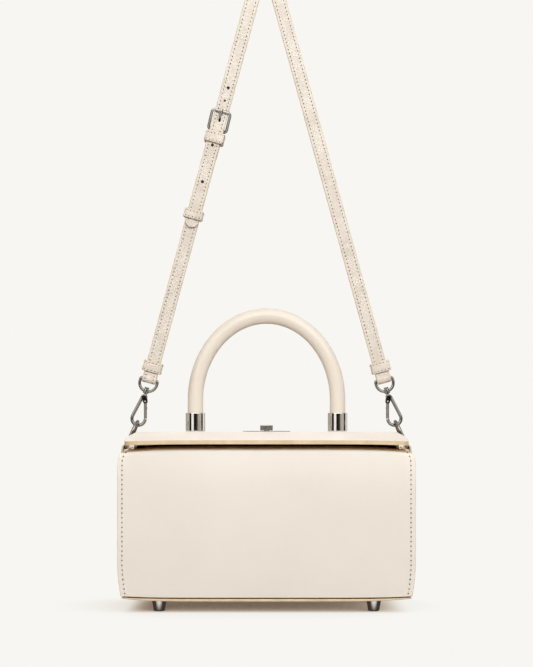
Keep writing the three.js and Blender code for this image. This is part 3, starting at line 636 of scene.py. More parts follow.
def lid_under(y):
    if y <= fold_y:
        return lid_top - lid_thick - (lid_fall + lid_droop) * lid_slope(y)
    reach = fold_radius - lid_thick
    return lid_top - fold_radius + math.sqrt(max(0.0, reach ** 2 - (y - fold_y) ** 2))


# %% Gussets
gusset_inset = 1 * MM
gusset_swell = 1 * MM
gusset_wall = wall - 0.2 * MM
neck_in = 2.6 * MM


def gusset_rows():
    rows = []
    flank = half_width(floor_z + 0.06, gusset_inset)
    heel_top = base_under + heel_up
    for z in shares(10, panel_foot, heel_top) + shares(10, heel_top, body_top - shoulder_down)[1:]:
        rows.append([half_width(z, gusset_inset), z, 0.0])
    for turn in shares(14, 0, 0.94 * math.pi / 2)[1:]:
        x = flank - shoulder_in * (1 - math.cos(turn))
        z = body_top - shoulder_down + (shoulder_down - gusset_inset) * math.sin(turn)
        rows.append([x, z, 0.0])
    neck = half_width(body_top, gusset_inset) - neck_in
    start = rows[-1]
    for turn in shares(5, 0, math.pi / 2)[1:]:
        x = neck + (start[0] - neck) * (1 - math.sin(turn))
        rows.append([x, start[1] + 3.2 * MM * (1 - math.cos(turn)), 0.0])
    for share in shares(4)[1:]:
        rows.append([neck, rows[-1][1], share])
    return rows


def gusset_front(z):
    reach = roll_radius - wall - 2 * seat_gap
    over = max(0.0, z - roll_z)
    if over > reach * 0.85:
        return roll_y - roll_radius * math.cos(roll_turn) + seat_gap
    if z > crest_z:
        return roll_y - math.sqrt(reach ** 2 - over ** 2)
    return front_profile(z)[0] + wall + 2 * seat_gap


def gusset_surface(side, rows):
    def at(u, index):
        x, z, neck = rows[int(index)]
        before, after = rows[max(int(index) - 1, 0)], rows[min(int(index) + 1, len(rows) - 1)]
        lean = 0.0 if neck or z > body_top else math.atan2(before[0] - after[0], after[1] - before[1])
        y = blend_to(gusset_front(z), body_back - wall - seat_gap, u)
        swell = gusset_swell * math.sin(math.pi * u) if z < body_top else 0.0
        lift = seam_lift(x, z)
        top = (lid_under(y) - seat_gap - z) * neck
        square = Vector((side * math.cos(lean), 0, math.sin(lean)))
        return Vector((side * x, y, z + lift + top)) + square * swell, square
    return at


rows = gusset_rows()
for side, name in ((-1, "left"), (1, "right")):
    surface = gusset_surface(side, rows)
    gusset = leather_wall(
        f"gusset_skin_{name}", surface, shares(36), range(len(rows)), gusset_wall, leather_set
    )
    dress(gusset, "bag", [f"gusset_{name}"])
print("gusset rows:", len(rows))

# %% [markdown]
# ## Lid
#
# The lid is a flat board whose front slopes down to a painted edge. Its front
# corners stand out like ears and it narrows behind them, to leave room for the side
# rings. At the back it bends over the body and ends in a flap that is sewn down.

# %% Lid
lid_ear = lid_high.x
lid_half = 98 * MM
lid_corner = 10 * MM
ear_end = -34 * MM
waist_start = -14 * MM
flap_corner = 8 * MM
flap_low = lid_low.z


def lid_rows():
    rows = []
    for turn in shares(12, 0, math.pi / 2):
        half = lid_ear - lid_corner + lid_corner * math.sin(turn)
        rows.append([lid_front + lid_corner * (1 - math.cos(turn)), half])
    for share in shares(18):
        ease = (1 - math.cos(math.pi * share)) / 2
        rows.append([blend_to(ear_end, waist_start, share), blend_to(lid_ear, lid_half, ease)])
    for y in shares(12, waist_start, fold_y)[1:-1]:
        rows.append([y, lid_half])
    flat = []
    for y, half in rows:
        lean = math.atan((lid_slope(y + 0.5 * MM) - lid_slope(y - 0.5 * MM)) * lid_fall / MM)
        flat.append([y, lid_top - lid_fall * lid_slope(y), half, lean, lid_slope(y)])
    for turn in shares(14, 0, math.pi / 2):
        y = fold_y + fold_radius * math.sin(turn)
        flat.append([y, lid_top - fold_radius * (1 - math.cos(turn)), lid_half, turn, 0.0])
    for turn in shares(10, 0, math.pi / 2):
        z = flap_low + flap_corner * (1 - math.sin(turn))
        half = lid_half - flap_corner * (1 - math.cos(turn))
        flat.append([fold_y + fold_radius, z, half, math.pi / 2, 0.0])
    return flat


lid_table = lid_rows()


def lid_surface(u, index):
    y, z, half, turn, droop = lid_table[int(index)]
    x = u * half
    drop = lid_droop * (x / lid_ear) ** 6 * droop
    return Vector((x, y, z - drop)), Vector((0, math.sin(turn), math.cos(turn)))


lid_set = [lid_leather, edge_paint, lining_and_shade]
lid = leather_wall(
    "lid_skin", lid_surface, shares(64, -1, 1), range(len(lid_table)), lid_thick, lid_set, edge=0.8 * MM
)
dress(lid, "bag", ["lid"])

# %% [markdown]
# ## Round wires and tubes with Geometry Nodes
#
# The handle, rings, hooks, bows, buckle and prong are all the same idea: a round
# section carried along a path. A curve with a bevel would do, but a small node tree
# makes every one of them alike, with the radius and the number of sides as inputs.

# %% The wire tree
def tree_input(tree, label, kind, value=None):
    socket = tree.interface.new_socket(label, in_out="INPUT", socket_type=kind)
    if value is not None:
        socket.default_value = value
    return socket.identifier


wire_tree = bpy.data.node_groups.new("round_wire", "GeometryNodeTree")
wire_keys = {
    "path": tree_input(wire_tree, "Path", "NodeSocketGeometry"),
    "radius": tree_input(wire_tree, "Radius", "NodeSocketFloat", 0.001),
    "sides": tree_input(wire_tree, "Sides", "NodeSocketInt", 24),
    "finish": tree_input(wire_tree, "Finish", "NodeSocketMaterial"),
}
wire_tree.interface.new_socket("Wire", in_out="OUTPUT", socket_type="NodeSocketGeometry")


def chain(tree, *steps):
    made = []
    for kind in steps:
        node = tree.nodes.new(kind)
        if made:
            tree.links.new(made[-1].outputs[0], node.inputs[0])
        made.append(node)
    return made


ends = wire_tree.nodes.new("NodeGroupInput")
ring = wire_tree.nodes.new("GeometryNodeCurvePrimitiveCircle")
to_curve, to_mesh, _, _, painted, _ = chain(
    wire_tree, "GeometryNodeMeshToCurve", "GeometryNodeCurveToMesh", "GeometryNodeSetShadeSmooth",
    "GeometryNodeRealizeInstances", "GeometryNodeSetMaterial", "NodeGroupOutput",
)
to_mesh.inputs["Fill Caps"].default_value = True
wire_tree.links.new(ends.outputs["Path"], to_curve.inputs[0])
wire_tree.links.new(ends.outputs["Radius"], ring.inputs["Radius"])
wire_tree.links.new(ends.outputs["Sides"], ring.inputs["Resolution"])
wire_tree.links.new(ring.outputs[0], to_mesh.inputs["Profile Curve"])
wire_tree.links.new(ends.outputs["Finish"], painted.inputs["Material"])


def grow(made, tree, keys, **values):
    step = made.modifiers.new(tree.name, "NODES")
    step.node_group = tree
    for label, value in values.items():
        step[keys[label]] = value
    return settle(made)


def path_object(name, paths, joined=False):
    points, edges = [], []
    for path in paths:
        first = len(points)
        points += [tuple(p) for p in path]
        edges += [(i, i + 1) for i in range(first, len(points) - 1)]
        if joined:
            edges.append((len(points) - 1, first))
    mesh = bpy.data.meshes.new(name)
    mesh.from_pydata(points, edges, [])
    made = bpy.data.objects.new(name, mesh)
    bpy.context.scene.collection.objects.link(made)
    return made


def wire(name, path, diameter, finish, joined=False, sides=24):
    made = path_object(name, [path], joined)
    return grow(made, wire_tree, wire_keys, radius=diameter * MM / 2, sides=sides, finish=finish)


print("round_wire inputs:", list(wire_keys))


# %% Pieces turned on a lathe
def turned(name, profile, foot, finish, axis=(0, 0, 1), sides=64):
    axis = Vector(axis).normalized()
    aside = axis.orthogonal().normalized()
    other = axis.cross(aside)
    points, faces, rings = [], [], []
    for radius, height in profile:
        count = 1 if radius == 0 else sides
        rings.append((len(points), count))
        for i in range(count):
            turn = 2 * math.pi * i / sides
            arm = aside * math.cos(turn) + other * math.sin(turn)
            points.append(Vector(foot) + (axis * height + arm * radius) * MM)
    for (a, na), (b, nb) in zip(rings, rings[1:]):
        for i in range(sides):
            j = (i + 1) % sides
            if na == 1:
                faces.append((a, b + j, b + i))
            elif nb == 1:
                faces.append((a + i, a + j, b))
            else:
                faces.append((a + i, a + j, b + j, b + i))
    return even_normals(mesh_object(name, points, outward(points, faces), [finish]), 60)


# %% Several meshes made one piece
def one_piece(name, pieces):
    points, faces, finishes, indices = [], [], [], []
    for piece in pieces:
        first = len(points)
        points += [tuple(v.co) for v in piece.data.vertices]
        slots = []
        for finish in piece.data.materials:
            if finish not in finishes:
                finishes.append(finish)
            slots.append(finishes.index(finish))
        for face in piece.data.polygons:
            faces.append([first + v for v in face.vertices])
            indices.append(slots[face.material_index])
        bpy.data.objects.remove(piece)
    return even_normals(mesh_object(name, points, faces, finishes, indices), 60)


def from_floor(height):
    return floor_z + height * MM


# %% [markdown]
# ## Handle and ferrules
#
# The handle is a rolled leather tube: two straight legs and a high half-ellipse.
# Each leg stands in a polished cup. A cup is a turned piece, so it is spun from a
# profile with small rounds at its rims; without them metal looks like paper.

# %% Handle
handle_y, handle_half, handle_rise = 4.0, 54.8, 64.8
handle_diameter, handle_foot, springing = 11.9, 138.4, 158.1


def handle_path():
    left = [(-handle_half, z) for z in shares(6, handle_foot, springing)[:-1]]
    arch = [(handle_half * math.cos(turn), springing + handle_rise * math.sin(turn))
            for turn in shares(96, math.pi, 0)]
    right = [(-x, z) for x, z in reversed(left)]
    return [Vector((x * MM, handle_y * MM, from_floor(z))) for x, z in left + arch + right]


handle = wire("handle_roll", handle_path(), handle_diameter, handle_leather, sides=48)
dress(handle, "bag", ["handle"])

# %% Ferrules
ferrule_radius, ferrule_height, ferrule_floor = 7.55, 14.4, 4.0
ferrule_foot = 133.8
bore = handle_diameter / 2 + play


def ferrule_profile():
    foot = arc_points(ferrule_radius - 0.7, 0.7, 0.7, -math.pi / 2, 0, 6)
    rim = arc_points(ferrule_radius - 0.5, ferrule_height - 0.5, 0.5, 0, math.pi / 2, 6)
    lip = arc_points(bore + 0.4, ferrule_height - 0.4, 0.4, math.pi / 2, math.pi, 5)
    return [(0, 0), *foot, *rim, *lip, (bore, ferrule_floor), (0, ferrule_floor)]


for side, name in ((-1, "left"), (1, "right")):
    foot = (side * handle_half * MM, handle_y * MM, from_floor(ferrule_foot))
    ferrule = turned(f"ferrule_cup_{name}", ferrule_profile(), foot, bright_nickel, sides=96)
    dress(ferrule, "bag", [f"ferrule_{name}"])

# %% [markdown]
# ## Turn lock
#
# A thin plate lies on the lid and an oblong knob turns in it. Both are cut from
# bar, so their edges carry a small even bevel. A round stem joins the knob to the
# plate, and it runs in a hole a little wider than itself.

# %% Lock plate and knob
lock_y, plate_foot = -11.5, 133.8


def rounded_outline(width, depth, corner, steps=8):
    x, y = width / 2 - corner, depth / 2 - corner
    outline = arc_points(x, y, corner, 0, math.pi / 2, steps)
    outline += arc_points(-x, y, corner, math.pi / 2, math.pi, steps)
    outline += arc_points(-x, -y, corner, math.pi, 1.5 * math.pi, steps)
    outline += arc_points(x, -y, corner, 1.5 * math.pi, 2 * math.pi, steps)
    return outline


def plate_with_hole(name, outline, hole, low, high, finish):
    count = len(outline)
    turns = [math.atan2(y, x) for x, y in outline]
    inner = [(hole * math.cos(turn), hole * math.sin(turn)) for turn in turns]
    place = lambda x, y, z: Vector((x * MM, (lock_y + y) * MM, from_floor(z)))
    points = [place(x, y, z) for z in (low, high) for x, y in outline]
    points += [place(x, y, z) for z in (low, high) for x, y in inner]
    faces = []
    for i in range(count):
        j = (i + 1) % count
        faces.append((i, j, count + j, count + i))
        faces.append((2 * count + j, 2 * count + i, 3 * count + i, 3 * count + j))
        faces.append((count + i, count + j, 3 * count + j, 3 * count + i))
        faces.append((j, i, 2 * count + i, 2 * count + j))
    return round_edges(mesh_object(name, points, outward(points, faces), [finish]), 0.15 * MM)


plate_width, plate_depth, plate_corner, plate_thick = 36, 11, 3, 0.5
knob_width, knob_depth, knob_corner, knob_height = 9.6, 4.6, 0.5, 4.5
stem_radius, stem_height, stem_hole = 2.0, 1.8, 2.3
plate_top = plate_foot + plate_thick
plate_outline = rounded_outline(plate_width, plate_depth, plate_corner)
plate = plate_with_hole("lock_base_plate", plate_outline, stem_hole, plate_foot, plate_top, gunmetal)
dress(plate, "bag", ["lock_plate"])


def knob_block():
    outline = rounded_outline(knob_width, knob_depth, knob_corner, 4)
    low, high = plate_top + play, plate_top + knob_height
    points = [Vector((x * MM, (lock_y + y) * MM, from_floor(z))) for z in (low, high) for x, y in outline]
    return prism("block", points, gunmetal, 0.45, 4)


stem_foot = (0, lock_y * MM, from_floor(plate_foot))
stem_profile = [(0, 0), (stem_radius, 0), (stem_radius, stem_height), (0, stem_height)]
stem = turned("stem", stem_profile, stem_foot, gunmetal)
knob = one_piece("lock_turn_knob", [knob_block(), stem])
dress(knob, "knob", ["lock_knob"])

# %% [markdown]
# ## Feet
#
# Four studs keep the base off the table. They taper a little and their lower edge
# is rounded, so they are turned pieces as well.

# %% Feet
def foot_profile(high):
    rim = arc_points(3.1, 1.2, 1.2, -math.pi / 2, -0.1, 8)
    return [(0, 0), *rim, (5.45, high - 0.5), (5.6, high - 0.25), (5.5, high), (0, high)]


foot_place = {"left": -80.0, "right": 80.0, "front": -33.0, "rear": 33.0}
stud_inner_edge = 74.4 * MM
stud_high = (base_under + base_lift(stud_inner_edge) - floor_z) / MM - play
for end in ("front", "rear"):
    for side in ("left", "right"):
        place = (foot_place[side] * MM, foot_place[end] * MM, floor_z)
        stud = turned(f"foot_stud_{end}_{side}", foot_profile(stud_high), place, bright_nickel)
        dress(stud, "bag", [f"foot_{end}_{side}"])

# %% [markdown]
# ## Where the strands run
#
# Both strands lean inwards to the rail far above. Everything on them, from the
# hooks to the buckle, is placed by three numbers: how far up the strand, how far
# across it, and how far to the front or back.

# %% Places on a strand, in millimetres
strap_lean = 0.267
hook_x, hook_z = 98.3, 143.8
strap_width, strap_thick = 10.8, 2.0
layer = strap_thick + play
wrap_radius = 9.0
bow_bar = 31.4
rail_z = -floor_z / MM - 8.0
rail_along = (rail_z - hook_z) / math.cos(strap_lean)


def strand_ways(side):
    up = Vector((-side * math.sin(strap_lean), 0, math.cos(strap_lean)))
    out = Vector((side * math.cos(strap_lean), 0, math.sin(strap_lean)))
    return up, out


def strand(side, along, across=0.0, y=0.0):
    up, out = strand_ways(side)
    place = Vector((side * hook_x, 0, hook_z)) + up * along + out * across + Vector((0, y, 0))
    return place * MM + Vector((0, 0, floor_z))


def rest_y(along):
    return blend_to(layer / 2, wrap_radius, (along - bow_bar) / (rail_along - bow_bar))


print("strand length to the rail:", round(rail_along), "mm")

# %% [markdown]
# ## Swivel hooks
#
# A snap hook is a bent wire with a sprung gate on a pin between two cheeks. Its
# post turns in the hub of a bow that the strap is folded round. The wires come from
# the wire tree; the cheeks are flat plates with rounded edges.

# %% Flat plates in the plane of a strand
def strand_plate(name, side, outline, thick, middle, finish):
    points = [strand(side, along, across, middle + face * thick / 2)
              for face in (-1, 1) for across, along in outline]
    return prism(name, points, finish, 0.2)


def rod(name, start, end, diameter, finish, dome=0.25):
    way = (end - start) / MM
    length, radius = way.length, diameter / 2
    slope = dome * 0.3
    profile = [(0, 0), (radius - dome, 0), (radius - slope, slope), (radius, dome), (radius, length - dome)]
    profile += [(radius - slope, length - slope), (radius - dome, length), (0, length)]
    return turned(name, profile, start, finish, axis=way, sides=32)


# %% Hooks, gates and bows
eye_radius, nose_radius, eye_span = 5.1, 1.6, 16.5
hook_wire, bow_wire, gate_bar = 2.5, 1.9, 2.4
pin_up, pin_across, pin_diameter = 14.0, -1.6, 1.4
cheek_thick, cheek_middle, cheek_radius = 0.8, 1.8, 1.75
pin_reach, boss_reach, gate_eye_reach = 2.4, 2.0, 1.1
post_wide, head_wide, hub_wide, gate_eye = 2.2, 3.7, 4.2, 3.5
gate_tip_up = 1.3
slant = math.asin((eye_radius - nose_radius) / eye_span)
apex = eye_span + nose_radius + hook_wire / 2
hub_low, hub_height = apex + 0.6, 3.6


def make_hook(side, name):
    trace = arc_points(0, eye_span, nose_radius, math.pi * 0.8, slant, 16)
    trace += arc_points(0, 0, eye_radius, slant, -math.pi, 40) + [(-eye_radius, 0.9)]
    body = wire("body", [strand(side, along, across) for across, along in trace], hook_wire, dark_nickel)
    cheek = arc_points(pin_across, pin_up, cheek_radius, math.pi * 0.95, math.pi * 1.75, 10)
    cheek += arc_points(0, eye_span, nose_radius + 0.6, 0, math.pi * 0.85, 10)
    cheeks = [strand_plate("cheek", side, cheek, cheek_thick, face * cheek_middle, dark_nickel)
              for face in (-1, 1)]
    pin_at = [strand(side, pin_up, pin_across, y) for y in (-pin_reach, pin_reach)]
    boss_at = [strand(side, eye_span + nose_radius, 0, y) for y in (-boss_reach, boss_reach)]
    hub_high = hub_low + hub_height
    post = rod("post", strand(side, apex - 1.25), strand(side, hub_high + 0.85), post_wide, dark_nickel)
    head_at = [strand(side, hub_high + up) for up in (play, 1.4)]
    head = rod("head", *head_at, head_wide, dark_nickel, 0.4)
    parts = [body, *cheeks, rod("pin", *pin_at, pin_diameter, satin_nickel), post, head]
    parts.append(rod("boss", *boss_at, hook_wire - 0.2, dark_nickel))
    dress(one_piece(f"hook_body_{name}", parts), f"swivel_{name}", [f"hook_{name}"])


def make_gate(side, name):
    tip = strand(side, gate_tip_up, -eye_radius)
    pin = strand(side, pin_up, pin_across)
    shaft = rod("shaft", tip, pin, gate_bar, satin_nickel, 0.3)
    reach = Vector((0, gate_eye_reach * MM, 0))
    eye = rod("eye", pin - reach, pin + reach, gate_eye, dark_nickel)
    foot = tip.lerp(pin, 0.62)
    thumb_end = foot + strand(side, 0.6, -1.3) - strand(side, 0)
    thumb = rod("thumb", foot, thumb_end, gate_bar * 0.8, dark_nickel, 0.5)
    dress(one_piece(f"gate_bar_{name}", [shaft, eye, thumb]), f"catch_{name}", [f"gate_{name}"])


def make_bow(side, name):
    half, corner = 6.7, 1.4
    straight = hub_low + hub_height / 2 + half
    trace = arc_points(0, straight, half, math.pi, 2 * math.pi, 36)
    trace += arc_points(half - corner, bow_bar - corner, corner, 0, math.pi / 2, 8)
    trace += arc_points(-half + corner, bow_bar - corner, corner, math.pi / 2, math.pi, 8)
    loop_path = [strand(side, along, across) for across, along in trace]
    loop = wire("loop", loop_path, bow_wire + play, dark_nickel, True)
    hub_at = [strand(side, up) for up in (hub_low, hub_low + hub_height)]
    hub = rod("hub", *hub_at, hub_wide, dark_nickel, 0.4)
    dress(one_piece(f"bow_loop_{name}", [loop, hub]), "bag", [f"bow_{name}"])


for side, name in ((-1, "left"), (1, "right")):
    make_hook(side, name)
    make_gate(side, name)
    make_bow(side, name)

# %% [markdown]
# ## Leather bands
#
# The strap, its keepers and the ring tabs are flat bands: a section carried along a
# path, with the width direction given at each place. The section has painted round
# edges, a slight crown, and a shallow groove where each row of stitches pulls the
# leather down. That groove is what makes a sewn strap look sewn.

# %% Even steps along a path
def even_path(rows, step, softened=3):
    places = [Vector(p) for p, _ in rows]
    aims = [Vector(w) for _, w in rows]
    path = [(places[0], aims[0])]
    for i in range(len(places) - 1):
        count = max(1, round((places[i + 1] - places[i]).length / (step * MM)))
        for share in shares(count)[1:]:
            aim = aims[i].lerp(aims[i + 1], share).normalized()
            path.append((places[i].lerp(places[i + 1], share), aim))
    for _ in range(softened):
        middle = [((a[0] + b[0] * 2 + c[0]) / 4, (a[1] + b[1] * 2 + c[1]).normalized())
                  for a, b, c in zip(path, path[1:], path[2:])]
        path = [path[0], *middle, path[-1]]
    return path


def with_faces(path, joined=False):
    count = len(path)
    rows = []
    for i, (place, aim) in enumerate(path):
        before = path[(i - 1) % count if joined else max(i - 1, 0)][0]
        after = path[(i + 1) % count if joined else min(i + 1, count - 1)][0]
        rows.append((place, aim, (after - before).normalized().cross(aim).normalized()))
    return rows


# %% The section of a band
def band_section(half, thick, inset, groove, crown):
    edge = min(thick * 0.3, half * 0.5)
    reach = half - edge
    sewn = half - inset if inset else reach * 0.6
    spots = {reach, sewn + 0.55, sewn + 0.3, sewn, sewn - 0.3, sewn - 0.55, sewn * 0.5}
    spots = sorted((v for v in spots if 0 < v <= reach), reverse=True)
    across = spots + [0.0] + [-v for v in reversed(spots)]

    def height(w):
        dip = groove * math.exp(-(((abs(w) - sewn) / 0.3) ** 2)) if inset else 0.0
        return thick / 2 - dip - crown * (w / half) ** 2

    top = [(w, height(w), 0) for w in reversed(across)]
    low = [(w, -height(w), 0) for w in across]
    turns = [math.pi / 2 * s for s in (0.66, 0.33, 0, -0.33, -0.66)]
    side = [(reach + edge * math.cos(t), height(reach) * math.sin(t), 1) for t in turns]
    other = [(-w, -t, 1) for w, t, _ in side]
    return top + side + low + other


def leather_band(name, rows, width, thick, finishes, joined=False, inset=0.0, groove=0.12, crown=0.12,
                 halves=None):
    section = band_section(width / 2, thick, inset, groove, crown)
    sections = []
    for i, (place, aim, face) in enumerate(rows):
        share = 1.0 if halves is None else halves[i]
        sections.append([place + (aim * w * share + face * t) * MM for w, t, _ in section])
    groups_round = [g for _, _, g in section]
    size, count = len(section), len(sections)
    points = [p for s in sections for p in s]
    faces, groups = [], []
    for j in range(count if joined else count - 1):
        k = (j + 1) % count
        for i in range(size):
            n = (i + 1) % size
            faces.append((j * size + i, j * size + n, k * size + n, k * size + i))
            groups.append(1 if groups_round[i] or groups_round[n] else 0)
    if not joined:
        faces += [tuple(reversed(range(size))), tuple(range((count - 1) * size, count * size))]
        groups += [1, 1]
    return mesh_object(name, points, outward(points, faces), finishes, groups)


print("band helpers ready")

# %% [markdown]
# ## Punched holes
#
# The strap has a slot for the prong and a row of small holes. A Boolean modifier cuts
# them, and the cutter's dark brown becomes the wall of the hole: painted shade, for the
# shade inside the hole. The small ones are punched a little way in from each face, so no light shows through
# them.

# %% Hole cutting
def strand_rod(name, side, along, y, radius, finish, length):
    start = strand(side, along, 0, y - length / 2)
    profile = [(0, 0), (radius, 0), (radius, length), (0, length)]
    return turned(name, profile, start, finish, axis=(0, 1, 0), sides=40)


def cut(piece, cutters):
    for cutter in cutters:
        step = piece.modifiers.new("cut", "BOOLEAN")
        step.operation = "DIFFERENCE"
        step.solver = "EXACT"
        step.material_mode = "TRANSFER"
        step.object = cutter
    settle(piece)
    for cutter in cutters:
        bpy.data.objects.remove(cutter)
    return piece


def strand_box(side, low, high, width, front, back, finish):
    half = width / 2
    corners = ((low, -half), (low, half), (high, half), (high, -half))
    points = [strand(side, along, across, y) for y in (front, back) for along, across in corners]
    faces = [(0, 1, 2, 3), (7, 6, 5, 4)] + [(i, 4 + i, 4 + (i + 1) % 4, (i + 1) % 4) for i in range(4)]
    return mesh_object("slot", points, outward(points, faces), [finish])


# %% [markdown]
# ## Strap
#
# The short strap goes up from the left hook, round the buckle's lower bar, and its
# tail is sewn behind. The long strap goes up from the right hook, over the rail in
# a half turn, down the left side through the buckle, and ends in a round tongue
# held by two keepers. Their routes repeat the frame's, in finer steps.

# %% Routes of the two straps
buckle_wire, buckle_width, prong_wire = 2.2, 16.4, 2.0
low_bar, high_bar = 227.5 + buckle_wire / 2, 244.1 - buckle_wire / 2
buckle_layer = buckle_wire / 2 + play + strap_thick / 2
low_bar_y = -rest_y(low_bar) + buckle_layer
high_bar_y = -rest_y(high_bar) - buckle_layer
keeper_buckle, keeper_tongue, keeper_end = (218.3, 226.3), (158.1, 165.1), (36.9, 45.1)
tongue_end, short_tail, tail_end, prong_hole = 151.5, 207.0, 44.0, 238.1
fold_layer = bow_wire / 2 + play + strap_thick / 2


def bow_fold(face):
    rows = [(tail_end, -face * layer / 2), (bow_bar + 6, -face * layer / 2)]
    for turn in shares(16, 0, math.pi):
        rows.append((bow_bar - fold_layer * math.sin(turn), -face * fold_layer * math.cos(turn)))
    return rows + [(bow_bar + 6, face * layer / 2)]


def short_route():
    rows = bow_fold(-1)
    rows += [(keeper_tongue[1], -rest_y(keeper_tongue[1])), (low_bar - 6, -rest_y(low_bar - 6))]
    for turn in shares(16, 0, math.pi):
        rows.append((low_bar + buckle_layer * math.sin(turn), low_bar_y - buckle_layer * math.cos(turn)))
    rows += [(low_bar - 8, -rest_y(low_bar - 8) + layer), (short_tail, -rest_y(short_tail) + layer)]
    return [(strand(-1, along, 0, y), strand_ways(-1)[1]) for along, y in rows]


def rail_turn():
    rows = []
    for turn in shares(36, 0, math.pi):
        x = wrap_radius * math.tan(strap_lean) * (math.pi / 2 - turn)
        place = Vector((x, wrap_radius * math.cos(turn), rail_z + wrap_radius * math.sin(turn)))
        aim = Vector((math.cos(strap_lean), -math.sin(strap_lean) * math.sin(turn),
                      math.sin(strap_lean) * math.cos(turn)))
        rows.append((place * MM + Vector((0, 0, floor_z)), aim))
    return rows


def long_route():
    rows = [(strand(1, along, 0, y), strand_ways(1)[1]) for along, y in bow_fold(1)]
    for along in (blend_to(bow_bar, rail_along, 0.33), blend_to(bow_bar, rail_along, 0.67)):
        rows.append((strand(1, along, 0, rest_y(along)), strand_ways(1)[1]))
    rows += rail_turn()
    half_way = blend_to(high_bar, rail_along, 0.5)
    down = [
        (half_way, -rest_y(half_way)), (high_bar + 6, -rest_y(high_bar + 6)), (high_bar, -rest_y(high_bar)),
        (blend_to(low_bar, high_bar, 0.66), -rest_y(high_bar) - layer * 0.3),
        (blend_to(low_bar, high_bar, 0.33), -rest_y(high_bar) - layer * 0.75),
        (low_bar, -rest_y(low_bar) - layer), (keeper_tongue[1], -rest_y(keeper_tongue[1]) - layer),
        (tongue_end, -rest_y(tongue_end) - layer),
    ]
    return rows + [(strand(-1, along, 0, y), -strand_ways(-1)[1]) for along, y in down]


# %% Short strap
stitch_inset = 2.2
strap_step = 1.2
short_rows = with_faces(even_path(short_route(), strap_step))
short_strap = leather_band(
    "strap_short_band", short_rows, strap_width, strap_thick, strap_set, inset=stitch_inset
)
slot_low, slot_high, slot_width = low_bar - 3.4, low_bar + 4.6, 2.4
cut(short_strap, [strand_box(-1, slot_low, slot_high, slot_width, low_bar_y - 5, low_bar_y + 5, needle_hole)])
dress(short_strap, "bag", ["strap_short"])

# %% Long strap with a round tongue
long_rows = with_faces(even_path(long_route(), strap_step))


def tip_halves(rows, radius):
    tip = rows[-1][0]
    halves = []
    for place, _, _ in rows:
        way = min(radius, (tip - place).length / MM)
        halves.append(max(0.08, math.sqrt(max(0.0, radius ** 2 - (radius - way) ** 2)) / radius))
    return halves


long_strap = leather_band(
    "strap_long_band", long_rows, strap_width, strap_thick, strap_set, inset=stitch_inset,
    halves=tip_halves(long_rows, strap_width / 2)
)
# How far up the strand each blind hole lies, and how wide it is
hole_sizes = {216.1: 2.4, 261.6: 2.4, 187.3: 2.4, 251.6: 1.6}
punches = []
for along, wide in hole_sizes.items():
    for face in (-1, 1):
        y = -rest_y(along) - (layer if along < low_bar else 0) + face * (strap_thick / 2 + 0.15)
        punches.append(strand_rod("punch", -1, along, y, wide / 2, needle_hole, strap_thick))
slot_low, slot_high, slot_width = prong_hole - 3.2, prong_hole + 2.4, 3.2
punches.append(strand_box(-1, slot_low, slot_high, slot_width, high_bar_y - 2, high_bar_y + 8, needle_hole))
cut(long_strap, punches)
dress(long_strap, "bag", ["strap_long"])

# %% [markdown]
# ## Buckle
#
# The frame is a bent wire with round corners and the prong is a thinner wire curled
# round its lower bar. The strap hides the curl, but the eye sees it from the side.

# %% Buckle frame and prong
def make_buckle():
    half, height, corner = buckle_width / 2 - buckle_wire / 2, high_bar - low_bar, 2.2
    outline = arc_points(half - corner, height - corner, corner, 0, math.pi / 2, 8)
    outline += arc_points(-half + corner, height - corner, corner, math.pi / 2, math.pi, 8)
    outline += arc_points(-half + corner, corner, corner, math.pi, 1.5 * math.pi, 8)
    outline += arc_points(half - corner, corner, corner, 1.5 * math.pi, 2 * math.pi, 8)
    path = [strand(-1, low_bar + up, across, blend_to(low_bar_y, high_bar_y, up / height))
            for across, up in outline]
    frame_wire = wire("buckle_bent_frame", path, buckle_wire, satin_nickel, True, 32)
    dress(frame_wire, "bag", ["buckle_frame"])

    eye = buckle_wire / 2 + play + 0.8
    loop = [(low_bar + up, low_bar_y + y) for y, up in arc_points(0, 0, eye, -math.pi * 0.25, -math.pi, 18)]
    low_y, high_y = low_bar_y - eye, high_bar_y - eye
    rise = [
        (low_bar + 2, low_y), (prong_hole - 4, low_y + 0.6), (prong_hole - 1.8, low_y - 0.2),
        (prong_hole + 0.6, blend_to(low_y, high_y, 0.55)), (high_bar - 1, high_y),
        (high_bar + 1.6, high_y + 0.2),
    ]
    rows = [(strand(-1, along, 0, y), strand_ways(-1)[1]) for along, y in loop + rise]
    prong = wire("buckle_bent_prong", [place for place, _ in even_path(rows, 0.4, 6)], prong_wire, satin_nickel)
    dress(prong, "bag", ["buckle_prong"])


make_buckle()

# %% [markdown]
# ## Keepers
#
# Keepers are short bands bent round the strap's layers. Each is a closed loop with
# rounded corners, sewn along both edges.

# %% Keepers
keeper_slack, keeper_thick, keeper_inset = 0.5, 1.5, 1.3


def keeper_rows(side, place, front, back):
    low, high = place
    x = strap_width / 2 + keeper_slack + keeper_thick / 2
    near, far = front - play - keeper_thick / 2, back + play + keeper_thick / 2
    bend = 1.2
    left, right, low_y, high_y = -x + bend, x - bend, near + bend, far - bend
    outline = []
    for cx, cy, start in ((right, high_y, 0), (left, high_y, 0.5), (left, low_y, 1), (right, low_y, 1.5)):
        outline += arc_points(cx, cy, bend, start * math.pi, (start + 0.5) * math.pi, 6)
    up = strand_ways(side)[0]
    path = [(strand(side, (low + high) / 2, across, y), up) for across, y in outline]
    return with_faces(path, True)


def middle(place):
    return sum(place) / 2


